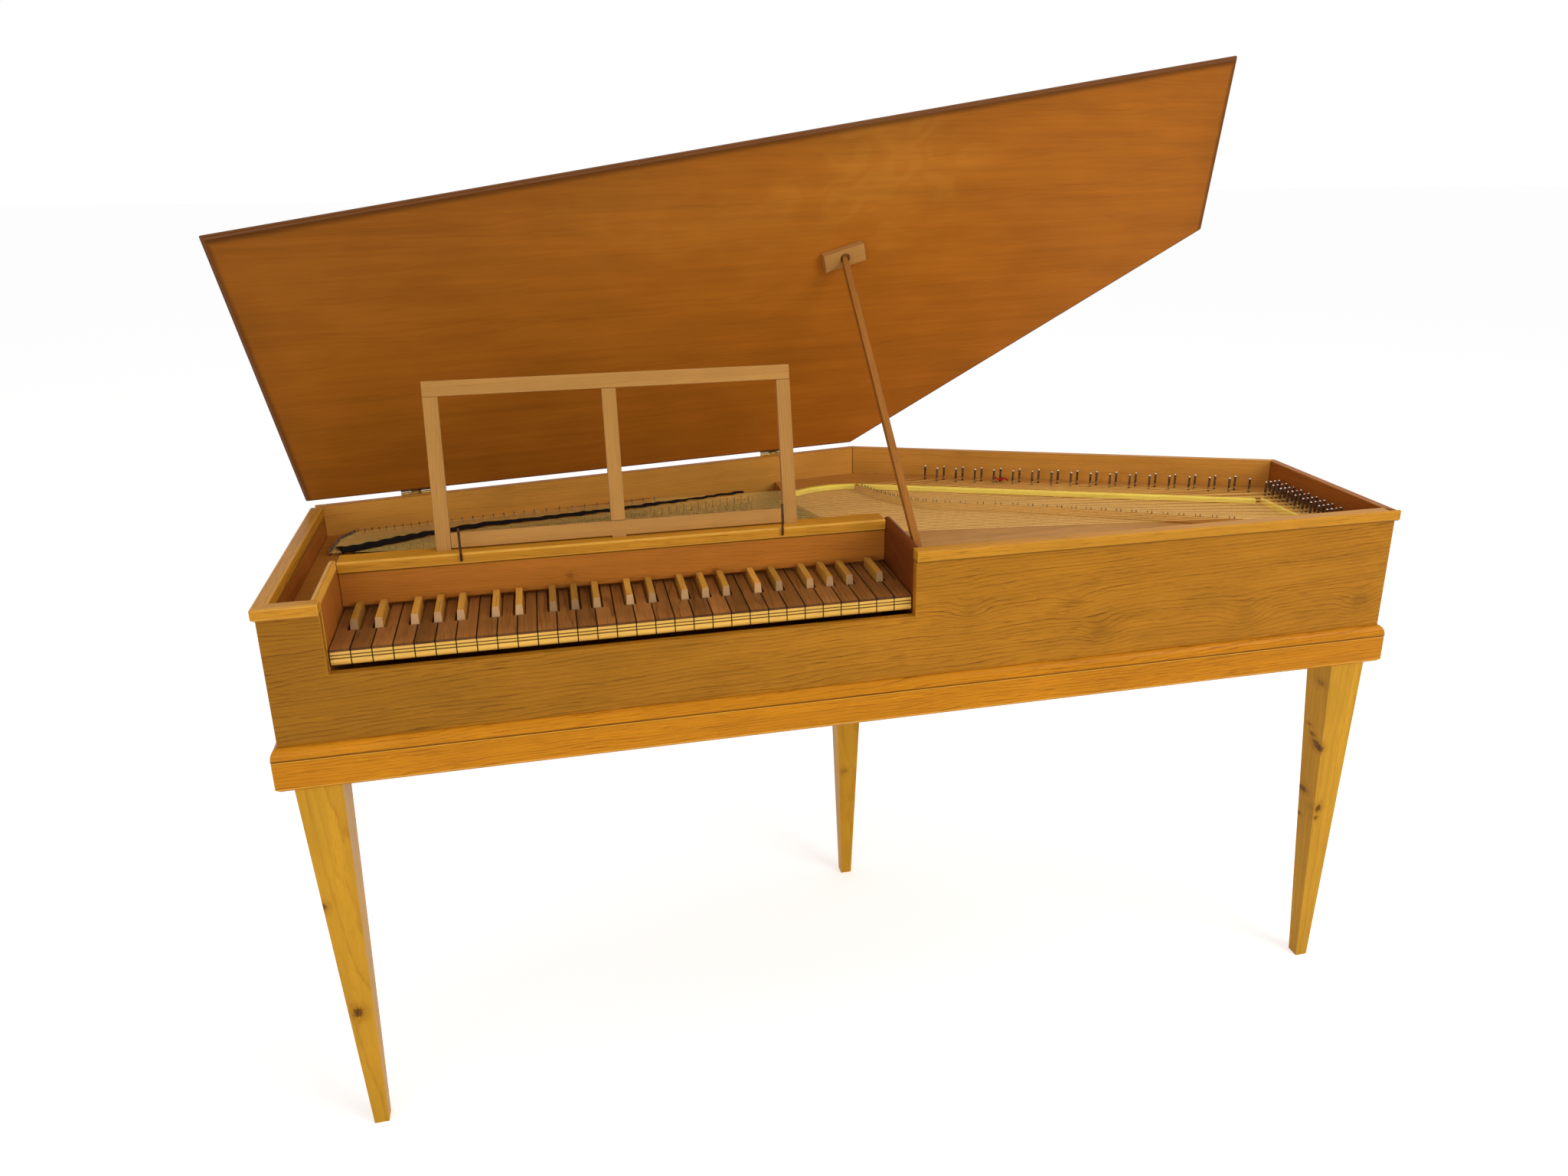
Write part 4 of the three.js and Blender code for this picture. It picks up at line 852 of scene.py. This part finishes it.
def scored(finish, along, across, colour, light):
    """Painted shade in the two scored lines across the reeded key fronts, in the joins between them and
    towards their foot.
    """
    height = finish.case_axis(2)
    # Painted shade in the grooves, the joins and under the lower bead
    upper, lower = [(height - LEVER_TOP + groove).size().rise(0.9, 0.4) for groove in GROOVES]
    head = ((along - 1) / NATURAL_PITCH).fraction() * NATURAL_PITCH
    join = head.least(NATURAL_PITCH - head).rise(1.0, 0.5)
    foot = height.rise(648, 645.5)
    return colour, light * (1 - upper.most(lower).most(join) * 0.82) * (1 - foot * 0.3)


def cut_key(form, number):
    """Lever with its crank and slip, cover and reeded front or raised sharp, and tangent."""
    key = Key(number)
    x, y = key.tangent_x, key.tangent_y
    right_side = [(TAIL_HALF, -14), (TAIL_HALF, TAIL_BACK), (1, TAIL_BACK), (1, SLIP_BACK)]
    tail = [
        (key.right, CRANK), *[(x + out, y + back) for out, back in right_side],
        *[(x - out, y + back) for out, back in reversed(right_side)], (key.left, CRANK),
    ]
    if key.is_sharp:
        front = HEAD_BACK + 1
        form.slab([(key.left, front), (key.right, front), *tail], LEVER_LOW, LEVER_TOP, LEVER)
        back = front + SHARP_LENGTH
        rings = []
        for half, near, height in ((4.7, front, LEVER_TOP - 0.1), (4.7, front + 0.6, NATURAL_TOP),
                                   (3.9, front + 3.2, NATURAL_TOP + SHARP_RISE)):
            plan = ((-half, near), (half, near), (half, back), (-half, back))
            rings.append([(key.middle + out, depth, height) for out, depth in plan])
        form.skin(rings, SHARP, front=SHARP_FRONT)
    else:
        form.slab([*key.head(KEY_FRONT, HEAD_BACK), *tail], LEVER_LOW, LEVER_TOP, LEVER)
        cover = [*key.head(KEY_FRONT - ARCADE_THICKNESS, HEAD_BACK), (key.right, COVER_BACK),
                 (key.left, COVER_BACK)]
        form.slab(cover, LEVER_TOP, NATURAL_TOP, COVER)
        form.moulding(ARCADE_PROFILE, key.head_left, key.head_right, ARCADE)
    tip = STRING - 0.65 - (y - BALANCE) * sin(KEY_DIP)
    steps = ((0.6, 1.3, LEVER_TOP - 1), (0.6, 1.5, LEVER_TOP + 4), (0.6, 2.2, tip - 3), (0.45, 2.2, tip))
    form.skin([
        [(x - w, y - d, z), (x + w, y - d, z), (x + w, y + d, z), (x - w, y + d, z)] for w, d, z in steps
    ], TANGENT)


key_grain = Grain(spot(KEYWELL[0], 100, LEVER_TOP), (0, 1, 0), (1, 0, 0))
arcade_grain = Grain(spot(KEYWELL[0], 13, 652), (1, 0, 0), UP)
lever_cells, cover_cells = (1, 13.5), (1, NATURAL_PITCH)
key_finishes = [
    sawn("lever_lime", LEVER_WOOD, key_grain, pith=(300, -70), cells=lever_cells),
    sawn("cover_plum", COVER_WOOD, key_grain, pith=(300, -40), cells=cover_cells, extra=key_borders),
    sawn("arcade_box", ARCADE_WOOD, arcade_grain, pith=(40, -30), extra=scored),
    sawn("sharp_honey", SHARP_WOOD, key_grain, pith=(300, -30), cells=lever_cells),
    sawn("sharp_end_grain", SHARP_END, key_grain, pith=(300, -30), cells=lever_cells),
    hitch_brass,
]
FIRST_PLAYED = 24
PLAYED = ["c", "c_sharp", "d", "d_sharp", "e", "f", "f_sharp", "g", "g_sharp", "a", "a_sharp", "b"]
for step, note in enumerate(PLAYED):
    form = Form()
    cut_key(form, FIRST_PLAYED + step)
    form.make(f"played_key_{note}", "key_wood", key_finishes, [f"key_{note}"], f"key_{note}", rounded=0.35)

still_keys = Form()
for number in range(KEY_COUNT):
    if not FIRST_PLAYED <= number < FIRST_PLAYED + len(PLAYED):
        cut_key(still_keys, number)
still_keys.make("still_keys", "key_wood", key_finishes, ["balance_rail"], rounded=0.35)

balance_wood = sawn("balance_wood", PLANK_WOOD, Grain(spot(400, BALANCE, 600), (1, 0, 0), UP))
rail = Form()
crest = LEVER_LOW - SEAM
rail_front, rail_back = BALANCE - 9, BALANCE + 9
rail.moulding([
    (rail_front, INSIDE_FLOOR), (rail_back, INSIDE_FLOOR), (rail_back, crest - 1.8), (BALANCE, crest),
    (rail_front, crest - 1.8),
], *KEYWELL)
rail.make("balance_bar", "beech", [balance_wood], ["balance_rail"], rounded=0.5)
balance_pins = Form()
for number in range(KEY_COUNT):
    balance_pins.turned((Key(number).middle, BALANCE), [
        (crest - 0.5, 1.25), (crest + 20.5, 1.25), (crest + 21.4, 0.9), (crest + 21.9, 0.35),
    ], 10)
balance_pins.make("balance_pins", "brass", [hitch_brass], ["balance_rail"])

guide_pins = Form()
for number in range(KEY_COUNT):
    key = Key(number)
    guide_pins.turned((key.tangent_x, key.tangent_y + (TAIL_BACK + SLIP_BACK) / 2), [
        (RACK_TOP - 3, 0.8), (RACK_TOP + 8.4, 0.8), (RACK_TOP + 9, 0.4),
    ], 8)
guide_pins.make("rack_guide_pins", "dark_wire", [page_wire])


# Strings, their pins and the bridge

# Where the tuning pins begin and end, from front to rear by the right wall and from left to
# right by the angled one, and how far its two rows stand from that wall
RIGHT_PINS = (84, RIGHT_DEPTH - 46)
REAR_PINS = (KINK[0] + 104, CASE_LENGTH - 58)
REAR_PIN_ROWS = (35.5, 24)


def tuning_place(pair, side):
    """Where a string ends: in rows of four pins by the right wall, or in two rows by the angled one."""
    if pair < RIGHT_PAIRS:
        row, place = divmod(pair * 2 + side, 4)
        front_row, rear_row = RIGHT_PINS
        x = CASE_LENGTH - WALL - RIGHT_PLANK + 9.5 + 8.2 * place
        return x, front_row + (rear_row - front_row) * row / 8 + place
    from_left = (PAIR_COUNT - 1 - pair) * 2 + 1 - side
    start, end = REAR_PINS
    x = start + (end - start) * from_left / ((PAIR_COUNT - RIGHT_PAIRS) * 2 - 1)
    slant = hypot(1, (KINK[1] - RIGHT_DEPTH) / (CASE_LENGTH - KINK[0]))
    return x, angled_inner(x) - REAR_PIN_ROWS[side] * slant


def between(first, last, t, start, end):
    """The point on a straight line that is at first for t = start and at last for t = end."""
    return first * ((end - t) / (end - start)) + last * ((t - start) / (end - start))


BRIDGE_LEAD = 16
BRIDGE_STEPS = 12


def bridge_line():
    """The bridge's middle line, swept through its points with a short lead at each end."""
    spots = []
    for share, length in BRIDGE_RUN:
        x = past_kink(length)
        spots.append(Vector((x, string_y(share, x))))
    spots.insert(0, spots[0] + (spots[0] - spots[1]).normalized() * BRIDGE_LEAD)
    spots.append(spots[-1] + (spots[-1] - spots[-2]).normalized() * BRIDGE_LEAD)
    ends = [spots[0] * 2 - spots[1], *spots, spots[-1] * 2 - spots[-2]]
    swept = []
    for i in range(1, len(ends) - 2):
        a, b, c, d = ends[i - 1:i + 3]
        knots = [0.0]
        for p, q in ((a, b), (b, c), (c, d)):
            knots.append(knots[-1] + sqrt((q - p).length))
        for j in range(BRIDGE_STEPS):
            t = knots[1] + (knots[2] - knots[1]) * j / BRIDGE_STEPS
            ab, bc, cd = [
                between(p, q, t, *knots[k:k + 2]) for k, (p, q) in enumerate(((a, b), (b, c), (c, d)))
            ]
            ac, bd = between(ab, bc, t, knots[0], knots[2]), between(bc, cd, t, knots[1], knots[3])
            swept.append(between(ac, bd, t, *knots[1:3]))
    return swept + [spots[-1]]


def crossing(line, string):
    """Where a string's line crosses a line of plan points."""
    for a, b in zip(line, line[1:]):
        over_a, over_b = a.y - string(a.x), b.y - string(b.x)
        if over_a * over_b <= 0 and over_a != over_b:
            return a.lerp(b, over_a / (over_a - over_b))


bridge_path = bridge_line()
bridge = Form()
BRIDGE_SECTION = [
    (-4.5, 0), (4.5, 0), (4.5, 3.2), (3.4, 4.6), (2.4, 8.6), (2.0, 11.6), (-0.6, 11.6), (-2.0, 10.4),
    (-3.4, 4.6), (-4.5, 3.2),
]
rings = []
for i, place in enumerate(bridge_path):
    side = unit_normal(bridge_path[max(i - 1, 0)], bridge_path[min(i + 1, len(bridge_path) - 1)])
    rings.append([(*(place + side * out), BOARD_TOP + up) for out, up in BRIDGE_SECTION])
bridge.skin(rings)
bridge_wood = sawn("bridge_wood", PLANK_WOOD, Grain(spot(1000, 300, BOARD_TOP), (-0.8, 0.6, 0), UP))
bridge.make("bridge", "beech", [bridge_wood], ["bridge_and_strings"], rounded=0.3)

PAIR_GAP = 2.3
LOOP_RADIUS = 1.2
TWIST_STEP = 0.42
COIL_RADIUS = 2.0
COIL_STEP = 0.06
TWELFTHS = [tau * i / 12 for i in range(12)]
# A tuning pin's height, width and thickness, step by step up to its flattened head
TUNING_PIN = [
    (-0.5, 1.7, 1.7), (13.5, 1.6, 1.6), (16.5, 1.75, 1.25), (21.6, 1.75, 1.1), (22.5, 1.5, 0.85),
    (22.8, 0.9, 0.4),
]
strings, bridge_pins, hitch_pins, tuning_pins, windings = [Form() for _ in range(5)]


def string_line(share, side):
    """One string of a pair in plan, as a function of x."""
    return lambda x: string_y(share, x) + (side - 0.5) * PAIR_GAP


def draw_string(gauge, first, turn_at, last):
    """A string from its loop and twist at the hitch pin over the bridge to its tuning pin."""
    run = (turn_at - first).normalized()
    aside = Vector((-run.y, run.x, 0))
    loop = [first + (run * cos(t) + aside * sin(t)) * LOOP_RADIUS for t in TWELFTHS]
    twist = [aside * cos(i * 1.3) + UP * sin(i * 1.3) for i in range(20)]
    twisted = [
        first + run * (LOOP_RADIUS + i * TWIST_STEP) + out * gauge * 1.5 for i, out in enumerate(twist)
    ]
    strings.wire(loop, gauge * 0.8, closed=True)
    strings.wire(twisted, gauge * 0.7, sides=4)
    strings.wire([first + run * 1.15, turn_at, last], gauge)


def set_tuning_pin(pin, spin, way, gauge):
    """A tuning pin, its head turned by spin, and the string wound round it one way or the other."""
    flat = Vector((cos(spin), sin(spin)))
    rings = []
    for height, wide, thin in TUNING_PIN:
        plan = [pin + flat * wide * cos(t) + flat.orthogonal() * thin * sin(t) for t in TWELFTHS]
        rings.append([(*place, PLANK_TOP + height) for place in plan])
    tuning_pins.skin(rings[:4])
    # The head takes the second finish, the steel with its painted highlight
    tuning_pins.skin(rings[3:], 1)
    coil = []
    for i in range(54):
        turn = way * (tau * i / 12 - pi / 2)
        place = pin + Vector((cos(turn), sin(turn))) * COIL_RADIUS
        coil.append((*place, STRING + i * COIL_STEP))
    windings.wire(coil, gauge, sides=4)


dice = random.Random(7)
for pair in range(PAIR_COUNT):
    share = pair / (PAIR_COUNT - 1)
    gauge = 0.2 - 0.06 * share
    way = -1 if pair < RIGHT_PAIRS else 1
    for side in (0, 1):
        line = string_line(share, side)
        start = over_keys(read_off(HITCH_RUN, (pair + side / 2) / (PAIR_COUNT - 1)))
        over = crossing(bridge_path, line)
        first, turn_at = Vector((start, line(start), STRING)), Vector((*over, STRING))
        last = Vector((*tuning_place(pair, side), STRING))
        draw_string(gauge, first, turn_at, last)
        hitch_pins.turned(first[:2], [
            (HITCH_TOP - 1, 0.85), (HITCH_TOP + 7.2, 0.85), (HITCH_TOP + 7.8, 0.5), (HITCH_TOP + 8, 0.2),
        ], 8)
        run, out = turn_at - first, last - turn_at
        inside = copysign(gauge + 0.55, run.x * out.y - run.y * out.x)
        bridge_pins.turned((over.x, over.y + inside), [
            (BOARD_TOP + 10, 0.6), (BOARD_TOP + 14.8, 0.6), (BOARD_TOP + 15.2, 0.3),
        ], 8)
        pin = Vector((last.x, last.y + way * (COIL_RADIUS + 0.2)))
        set_tuning_pin(pin, dice.uniform(-0.5, 0.5), way, gauge)
strings.make("strings", "brass", [string_brass], ["bridge_and_strings"])
bridge_pins.make("bridge_pins", "dark_wire", [pin_steel], ["bridge_and_strings"])
tuning_pins.make("tuning_pins", "dark_wire", [pin_steel, pin_head_highlight], ["wrest_plank"])
windings.make("pin_windings", "brass", [string_brass], ["wrest_plank"])
hitch_pins.make("hitch_pins", "brass", [pin_steel], ["hitch_rail"])


HOOK_RADIUS = 134
HOOK_TURN = radians(63)


def plank_front():
    """The rear plank's front edge, along the angled wall and then hooking forwards."""
    run = (Vector(KINK) - Vector((CASE_LENGTH, RIGHT_DEPTH))).normalized()
    offset = REAR_PLANK / abs(run.x)
    start_x = CASE_LENGTH - WALL - SEAM - RIGHT_PLANK
    start = Vector((start_x, angled_inner(start_x) - offset))
    bend = Vector((KINK[0], angled_inner(KINK[0]) - offset))
    left = Vector((-run.y, run.x))
    centre = bend + left * HOOK_RADIUS
    points = [start, bend]
    for i in range(1, 17):
        turn = HOOK_TURN * i / 16
        points.append(centre + (run * sin(turn) - left * cos(turn)) * HOOK_RADIUS)
    return points


front = plank_front()
right_x = CASE_LENGTH - WALL - SEAM
bead_out, bead_end = right_x - RIGHT_PLANK, front[0].y
PLANK_THICKNESS = 30
plank = Form()
plank.slab([
    (right_x, WALL + SEAM), (right_x, angled_inner(right_x) - 0.6), (KINK[0], angled_inner(KINK[0]) - 1.2),
    (front[-1].x, spine_inner(front[-1].x) - 0.6), *[tuple(place) for place in reversed(front)],
    (bead_out, WALL + SEAM),
], PLANK_TOP - PLANK_THICKNESS, PLANK_TOP)
plank_grain = Grain(spot(1100, 380, PLANK_TOP), (0.93, -0.37, 0), (0.37, 0.93, 0))
plank_wood = sawn("plank_wood", PLANK_WOOD, plank_grain)
plank.make("plank", "beech", [plank_wood], ["wrest_plank"], rounded=0.6)

side_bead = Form()
BEAD_RADIUS = 2.4
bead_arc = [radians(90 * i / 6) for i in range(7)]
bead_profile = [
    (bead_out - BEAD_RADIUS * cos(t), PLANK_TOP - BEAD_RADIUS * (1 - sin(t))) for t in bead_arc
]
bead_profile += [(bead_out, BOARD_TOP), (bead_out - BEAD_RADIUS, BOARD_TOP)]
side_bead.skin([[(x, y, z) for x, z in bead_profile] for y in (WALL + SEAM, bead_end)])
side_bead.make("plank_side_bead", "bead_wood", [bead_highlight_edge])

hitch_edge = []
for share, length in HITCH_RUN:
    x = over_keys(length) + 12
    hitch_edge.append((x, string_y(share, x) - 12))
HITCH_THICKNESS = 13
hitch = Form()
wall_x, cheek_x, end_x = WALL + SEAM, KEYWELL[0] - WALL - SEAM, hitch_edge[-1][0]
hitch.slab([
    (wall_x, wall_x), (cheek_x, wall_x), (cheek_x, COVER_BACK), *hitch_edge,
    (end_x, spine_inner(end_x) - SEAM), (wall_x, spine_inner(wall_x) - SEAM),
], HITCH_TOP - HITCH_THICKNESS, HITCH_TOP)
hitch_grain = Grain(spot(200, 380, HITCH_TOP), (0.99, 0.16, 0), (-0.16, 0.99, 0))
hitch_wood = sawn("hitch_wood", HITCH_WOOD, hitch_grain)
hitch.make("hitch_plank", "beech", [hitch_wood], ["hitch_rail"], rounded=0.8)


# Cloth


def ribbon(name, rows, thickness, finish, replaces=()):
    """A strip of cloth from rows of points across it, as thick as it was woven."""
    form = Form()
    size = len(rows[0])
    corners = [i * size + j for i in range(len(rows) - 1) for j in range(size - 1)]
    form.add([place for row in rows for place in row],
             [((c, c + 1, c + size + 1, c + size), 0) for c in corners])
    made = form.make(name, "black_cloth", [finish], replaces, crease=70)
    solid = made.modifiers.new("cloth_thickness", "SOLIDIFY")
    solid.thickness = thickness / 1000
    solid.offset = 0
    return made


def listing_rows():
    """The damping cloth's rows of points, resting on the strings beside the tangents in low waves."""
    rows = []
    steps = 210
    for i in range(steps + 1):
        share = i / steps
        key = share * (KEY_COUNT - 1)
        x = over_keys(read_off(TANGENT_RUN, share)) - 14
        low, high = Key(int(key)), Key(min(int(key) + 1, KEY_COUNT - 1))
        fan = low.share + (high.share - low.share) * (key - int(key))
        half = 12.5 - 10 * share ** 0.6
        weave = sin(fan * (PAIR_COUNT - 1) * pi)
        lumps = sin(i * 0.9) * 0.3 + sin(i * 0.37 + 1) * 0.6 + sin(i * 0.153 + 2) * 0.8
        lift = STRING + 2.2 + weave * 0.6
        row = []
        for j in range(7):
            across = j / 3 - 1
            out = across * (half + lumps * 0.8)
            crown = (1 - across * across) * (2.6 - 1.3 * share + lumps * 0.3)
            z = lift + crown + sin(i * 0.5 + j) * 0.2
            row.append((x - out * 0.5 + lumps * 0.4, string_y(fan, x) + out + lumps * 0.5, z))
        rows.append(row)
    return rows


listing = ribbon("listing", listing_rows(), 1.1, listing_black, ["listing_cloth"])

tail_rows = []
for i in range(41):
    share = i / 40
    x, y = 58 + share * 84, 298.5 - share * 11.5 + sin(share * 14) * 0.5
    lifts = [HITCH_TOP + 0.9 + sin(i * 0.7 + j) * 0.12 for j in range(4)]
    tail_rows.append([(x, y + (j - 1.5) * 3.5, lift) for j, lift in enumerate(lifts)])
listing_tail = ribbon("listing_tail", tail_rows, 0.9, listing_black)

felt_rows = []
for i in range(25):
    share = i / 24
    x, y = 1022 + share * 22, 400 - share * 7 + sin(share * 9) * 2.4
    lift = PLANK_TOP + 6.4 + sin(share * 11) * 1.6
    felt_rows.append([(x + sin(i + j) * 0.3, y + (j - 2) * 2.1, lift + sin(j * 1.7 + i * 0.6) * 1.1)
                      for j in range(5)])
felt = ribbon("red_strip", felt_rows, 0.8, red_felt)


# Hinges, page pins

for side in ("left", "right"):
    for half in ("lid", "case"):
        ease(dress(f"hinge_{side}_{half}_leaf", hinge_brass), 0.25)

HINGE_STARTS = (114, 660)
SCREW_STEPS = (7, 21, 35)
SCREW_DROP = 14
behind_spine = -unit_normal((0, LEFT_DEPTH), KINK)
screws = Form()
for leaf_x in HINGE_STARTS:
    for step in SCREW_STEPS:
        x = leaf_x + step
        seat = Vector((x, line_y((0, LEFT_DEPTH), KINK, x))) + behind_spine * 1.9
        head = seat + behind_spine * 0.6
        screws.wire([(*seat, RIM - SCREW_DROP), (*head, RIM - SCREW_DROP)], 2.1, sides=14)
screws.make("hinge_screws", "brass", [pin_steel])

PAGE_PINS = {"left": 211, "right": 616}
PIN_Y, PIN_FOOT, PIN_BEND = 129, RIM - 9, 1.2
for side, x in PAGE_PINS.items():
    turns = [pi / 2 * i / 5 for i in range(1, 6)]
    path = [(x, PIN_Y + 1.7, PIN_FOOT), (x, PIN_Y + PIN_BEND, PIN_FOOT)]
    bend = [(PIN_BEND * (1 - sin(t)), PIN_BEND * (1 - cos(t))) for t in turns]
    path += [(x, PIN_Y + back, PIN_FOOT + up) for back, up in bend]
    path += [(x, PIN_Y, PIN_FOOT + up) for up in (12, 30, 42)]
    node = f"page_pin_{side}"
    wire = Form()
    wire.wire(path, 1.5, sides=12)
    wire.make(f"page_wire_{side}", "dark_wire", [page_wire], [node], node, rounded=0.3)


# Floor, light and camera


SKY_STRENGTH = 0.52
FLOOR_GLOW = 0.48
FLOOR_HALF = 30
world = bpy.data.worlds.new("studio")
scene.world = world
world.use_nodes = True
studio = Nodes(world.node_tree)
lit, white = [
    studio.term(0, "Background", {"Color": (1, 1, 1, 1), "Strength": strength})
    for strength in (SKY_STRENGTH, 1)
]
both = studio.term(0, "MixShader", {0: studio.seen(), 1: lit, 2: white})
studio.feed(studio.tree.nodes["World Output"].inputs[0], both)

floor_mesh = bpy.data.meshes.new("floor")
floor_corners = [(x * FLOOR_HALF, y * FLOOR_HALF, 0) for x, y in ((-1, -1), (1, -1), (1, 1), (-1, 1))]
floor_mesh.from_pydata(floor_corners, [], [(0, 1, 2, 3)])
floor_paint = Finish("floor_paint", Roughness=0.9, Specular_IOR_Level=0.1, Base_Color=(0.93, 0.93, 0.93, 1),
                     Emission_Strength=1)
glow = floor_paint.dimmed((1, 1, 1), floor_paint.seen() * FLOOR_GLOW)
floor_paint.feed(floor_paint.surface.inputs["Emission Color"], glow)
floor_mesh.materials.append(floor_paint.material)
floor = added("floor", floor_mesh)


def lamp(name, place, aim, size, watts, tint):
    light = bpy.data.lights.new(name, "AREA")
    light.shape = "RECTANGLE"
    light.size, light.size_y = size
    light.energy = watts
    light.color = tint
    made = added(name, light)
    made.location = place
    made.rotation_euler = (Vector(aim) - Vector(place)).to_track_quat("-Z", "Y").to_euler()


lamp("front_window", (2.3, -2.6, 2.2), (0.2, 0, 0.6), (2.0, 1.8), 50, (1, 0.97, 0.93))
lamp("fill", (-1.9, -3.0, 1.0), (0.2, 0.2, 0.9), (2.4, 1.2), 24, (1, 0.98, 0.95))
lamp("over_lamp", (0.4, 0.1, 3.2), (0, 0, 0.7), (2.4, 1.4), 18, (1, 0.98, 0.95))

lens = bpy.data.cameras.new("camera")
lens.sensor_width = 36
lens.lens = 26.057
lens.shift_x = -0.0192
lens.shift_y = -0.03313
lens.clip_start, lens.clip_end = 0.05, 100
camera = added("camera", lens)
camera.location = spot(329.28, -1252.51, 1196.88)
camera.rotation_euler = (1.242162, 0.004602, -0.235465)
scene.camera = camera
scene.view_settings.view_transform = "Standard"
